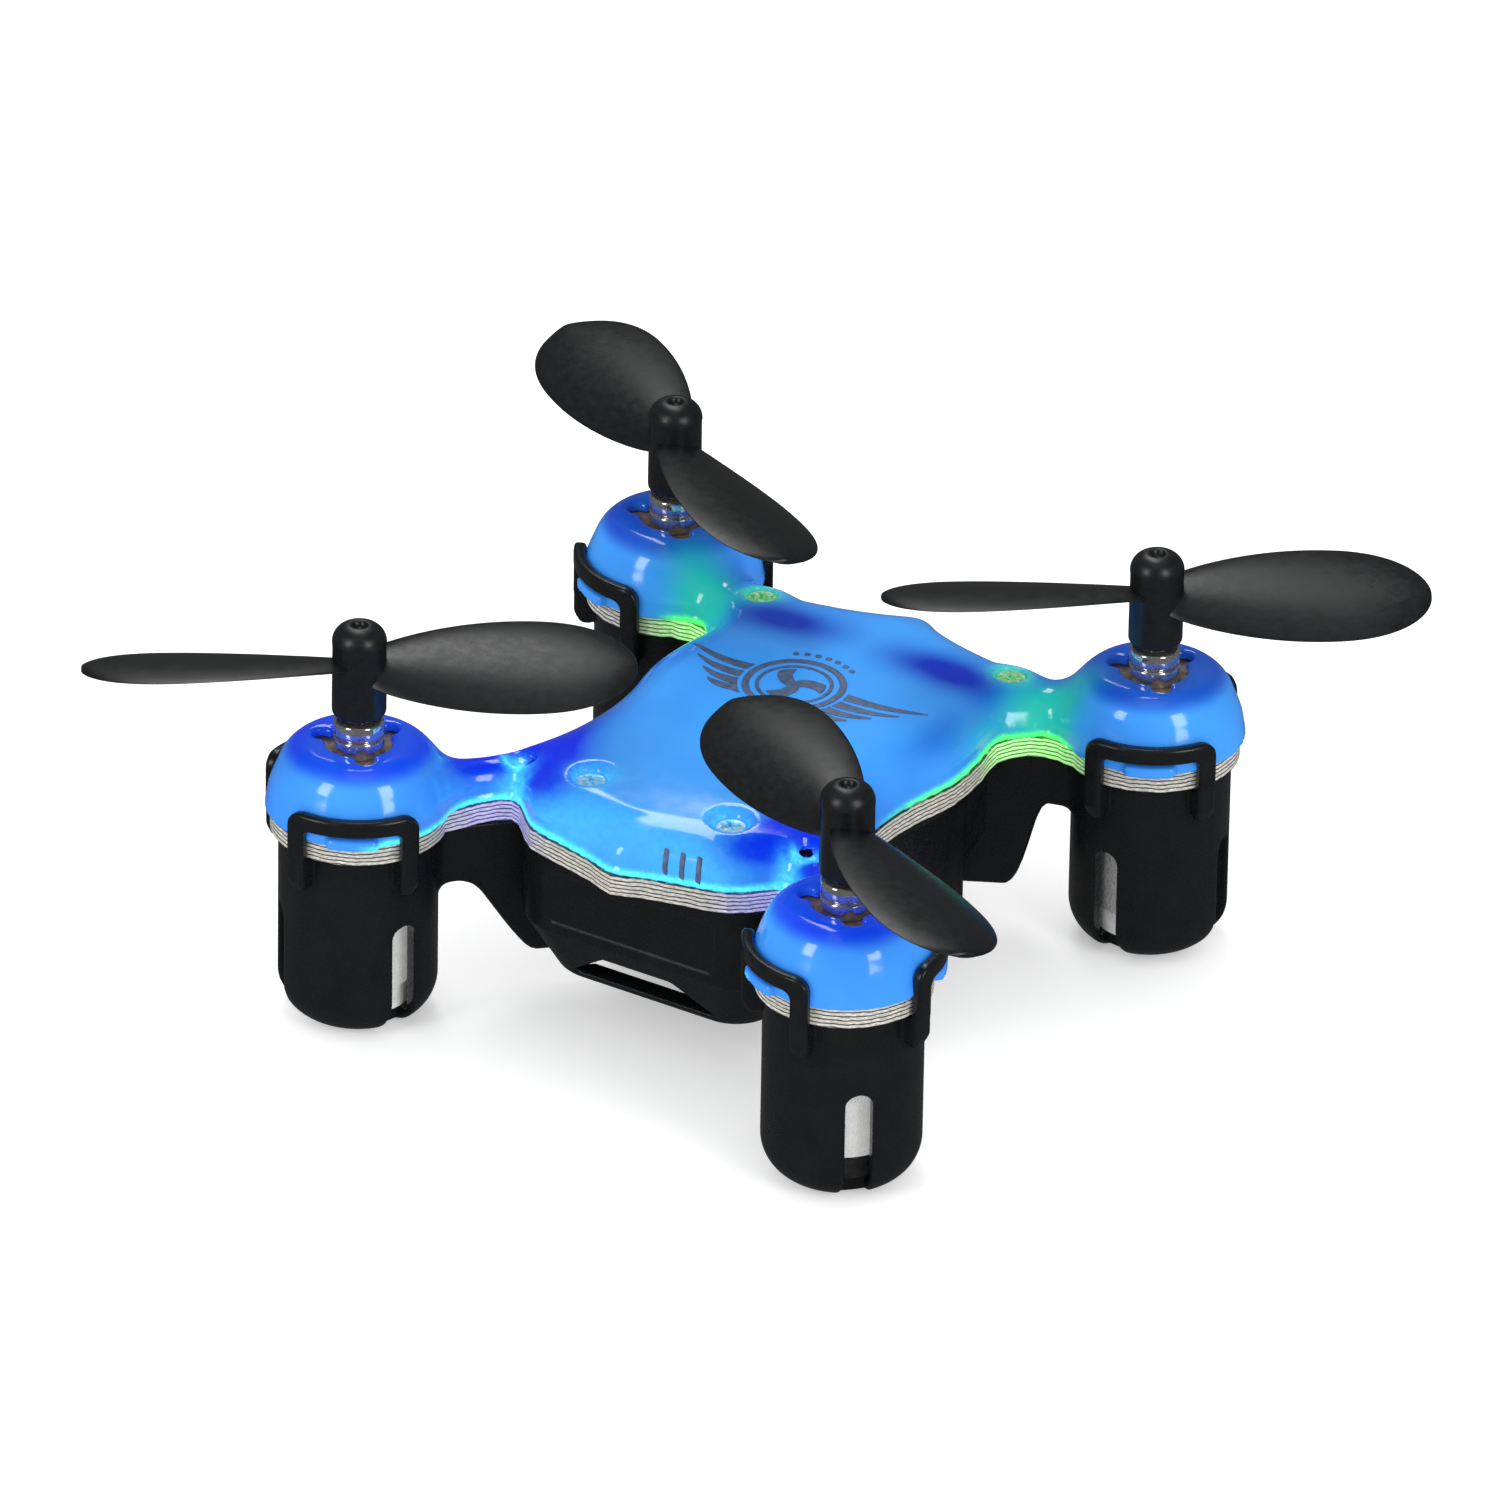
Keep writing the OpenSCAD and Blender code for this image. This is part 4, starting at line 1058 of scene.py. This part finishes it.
def main():
    """Builds the camera, the studio and every visible piece."""
    make_camera()
    studio()
    segments = outline_segments()
    black = shell_material()

    field, low, pitch, sharp = canopy()
    vertices, faces, normals = skin_of(field, low, pitch)
    skin = make_piece(
        "canopy_skin", vertices, faces, canopy_material(), normals=normals,
        attributes=canopy_painted_light(vertices, sharp),
    )
    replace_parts(skin, "top_shell")
    surface = BVHTree.FromPolygons(vertices.tolist(), faces.tolist())
    ink = plastic_material("print_grey", (0.045, 0.075, 0.15), (0.08, 0.125, 0.23), 0.4, 3.0)
    printed("print_wheel", ornament, (-8.6, 0.9), (7.4, 9.4), surface, ink)
    printed("print_bars", ticks, (1.6, -13.9), (5.6, -12.4), surface, ink)

    vertices, faces, normals = tray(segments)
    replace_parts(make_piece("body_tray", vertices, faces, black, normals=normals), "bottom_shell")
    pods = {end: pod(end) for end in ("front", "rear")}
    for corner, (sx, sy) in CORNERS.items():
        vertices, faces, normals = pods["front" if sy < 0 else "rear"]
        mirror = np.array([sx, 1, 1])
        piece = make_piece(
            f"motor_pod_{corner}", vertices * mirror + np.array([sx * HUB, sy * HUB, 0]),
            faces if sx > 0 else faces[:, ::-1], black, normals=normals * mirror,
        )
        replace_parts(piece, "bottom_shell")

    blades = blade_material()
    chrome = metal_material("bright_steel", (0.90, 0.87, 0.82), 0.05, bevel=0.03, metallic=0.94)
    for corner in CORNERS:
        propeller(corner, blades)
        boss(corner, chrome)

    steel = metal_material("brushed_steel", (0.70, 0.69, 0.66), 0.22, brushed=True)
    brass = metal_material("brass", (0.72, 0.52, 0.26), 0.25)
    chip = plastic_material("chip_black", (0.012, 0.012, 0.014), (0.03, 0.03, 0.032), 0.5, 1.5)
    repaint(board_material(), "main_board")
    repaint(can_material(), *each("motor_can"))
    repaint(chrome, *each("motor_shaft"))
    repaint(screw_material(), "shell_screws")
    repaint(brass, *each("motor_coil"))
    repaint(metal_material("magnet_grey", (0.30, 0.30, 0.31), 0.4), *each("motor_magnet"))
    repaint(metal_material("cell_foil", (0.62, 0.64, 0.66), 0.32), "battery_cell")
    foam = plastic_material("foam_tape", (0.75, 0.75, 0.73), (0.9, 0.9, 0.88), 0.8, 4.0, bump=0.5)
    repaint(foam, "battery_tape")
    repaint(chip, "flight_chip", "gyro_chip", "radio_chip", "motor_drivers")
    repaint(steel, "crystal", "power_switch_case")
    repaint(plastic_material("ceramic_tan", (0.35, 0.27, 0.17), (0.55, 0.45, 0.30), 0.5), "small_parts")
    repaint(plastic_material("ceramic_white", (0.72, 0.70, 0.64), (0.88, 0.86, 0.80), 0.4), "antenna")
    repaint(plastic_material("socket_white", (0.78, 0.78, 0.75), (0.9, 0.9, 0.87), 0.35), "charge_socket")
    repaint(shell_material("switch_black", (0.012, 0.012, 0.012), 0.45), "power_switch_slider")
    white_cap = plastic_material("end_cap_white", (0.75, 0.75, 0.73), (0.88, 0.88, 0.86), 0.4)
    black_cap = plastic_material("end_cap_black", (0.01, 0.01, 0.011), (0.025, 0.025, 0.026), 0.4)
    for corner, (sx, sy) in CORNERS.items():
        repaint(white_cap if sx * sy > 0 else black_cap, f"motor_end_cap_{corner}")
    red = plastic_material("lead_red", (0.45, 0.02, 0.015), (0.62, 0.04, 0.03), 0.35)
    blue = plastic_material("lead_blue", (0.02, 0.06, 0.5), (0.04, 0.11, 0.65), 0.35)
    dark = plastic_material("lead_black", (0.01, 0.01, 0.01), (0.03, 0.03, 0.03), 0.35)
    for name, other in [("battery_leads", dark)] + [(lead, blue) for lead in each("motor_leads")]:
        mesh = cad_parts[name].data
        for k in range(len(mesh.materials)):
            mesh.materials[k] = red if k == 0 else other
    repaint(lamp_material("lamp_blue", (0.05, 0.35, 1.0)), "led_front_left", "led_front_right")
    repaint(lamp_material("lamp_green", (0.1, 1.0, 0.15)), "led_rear_left", "led_rear_right")


main()
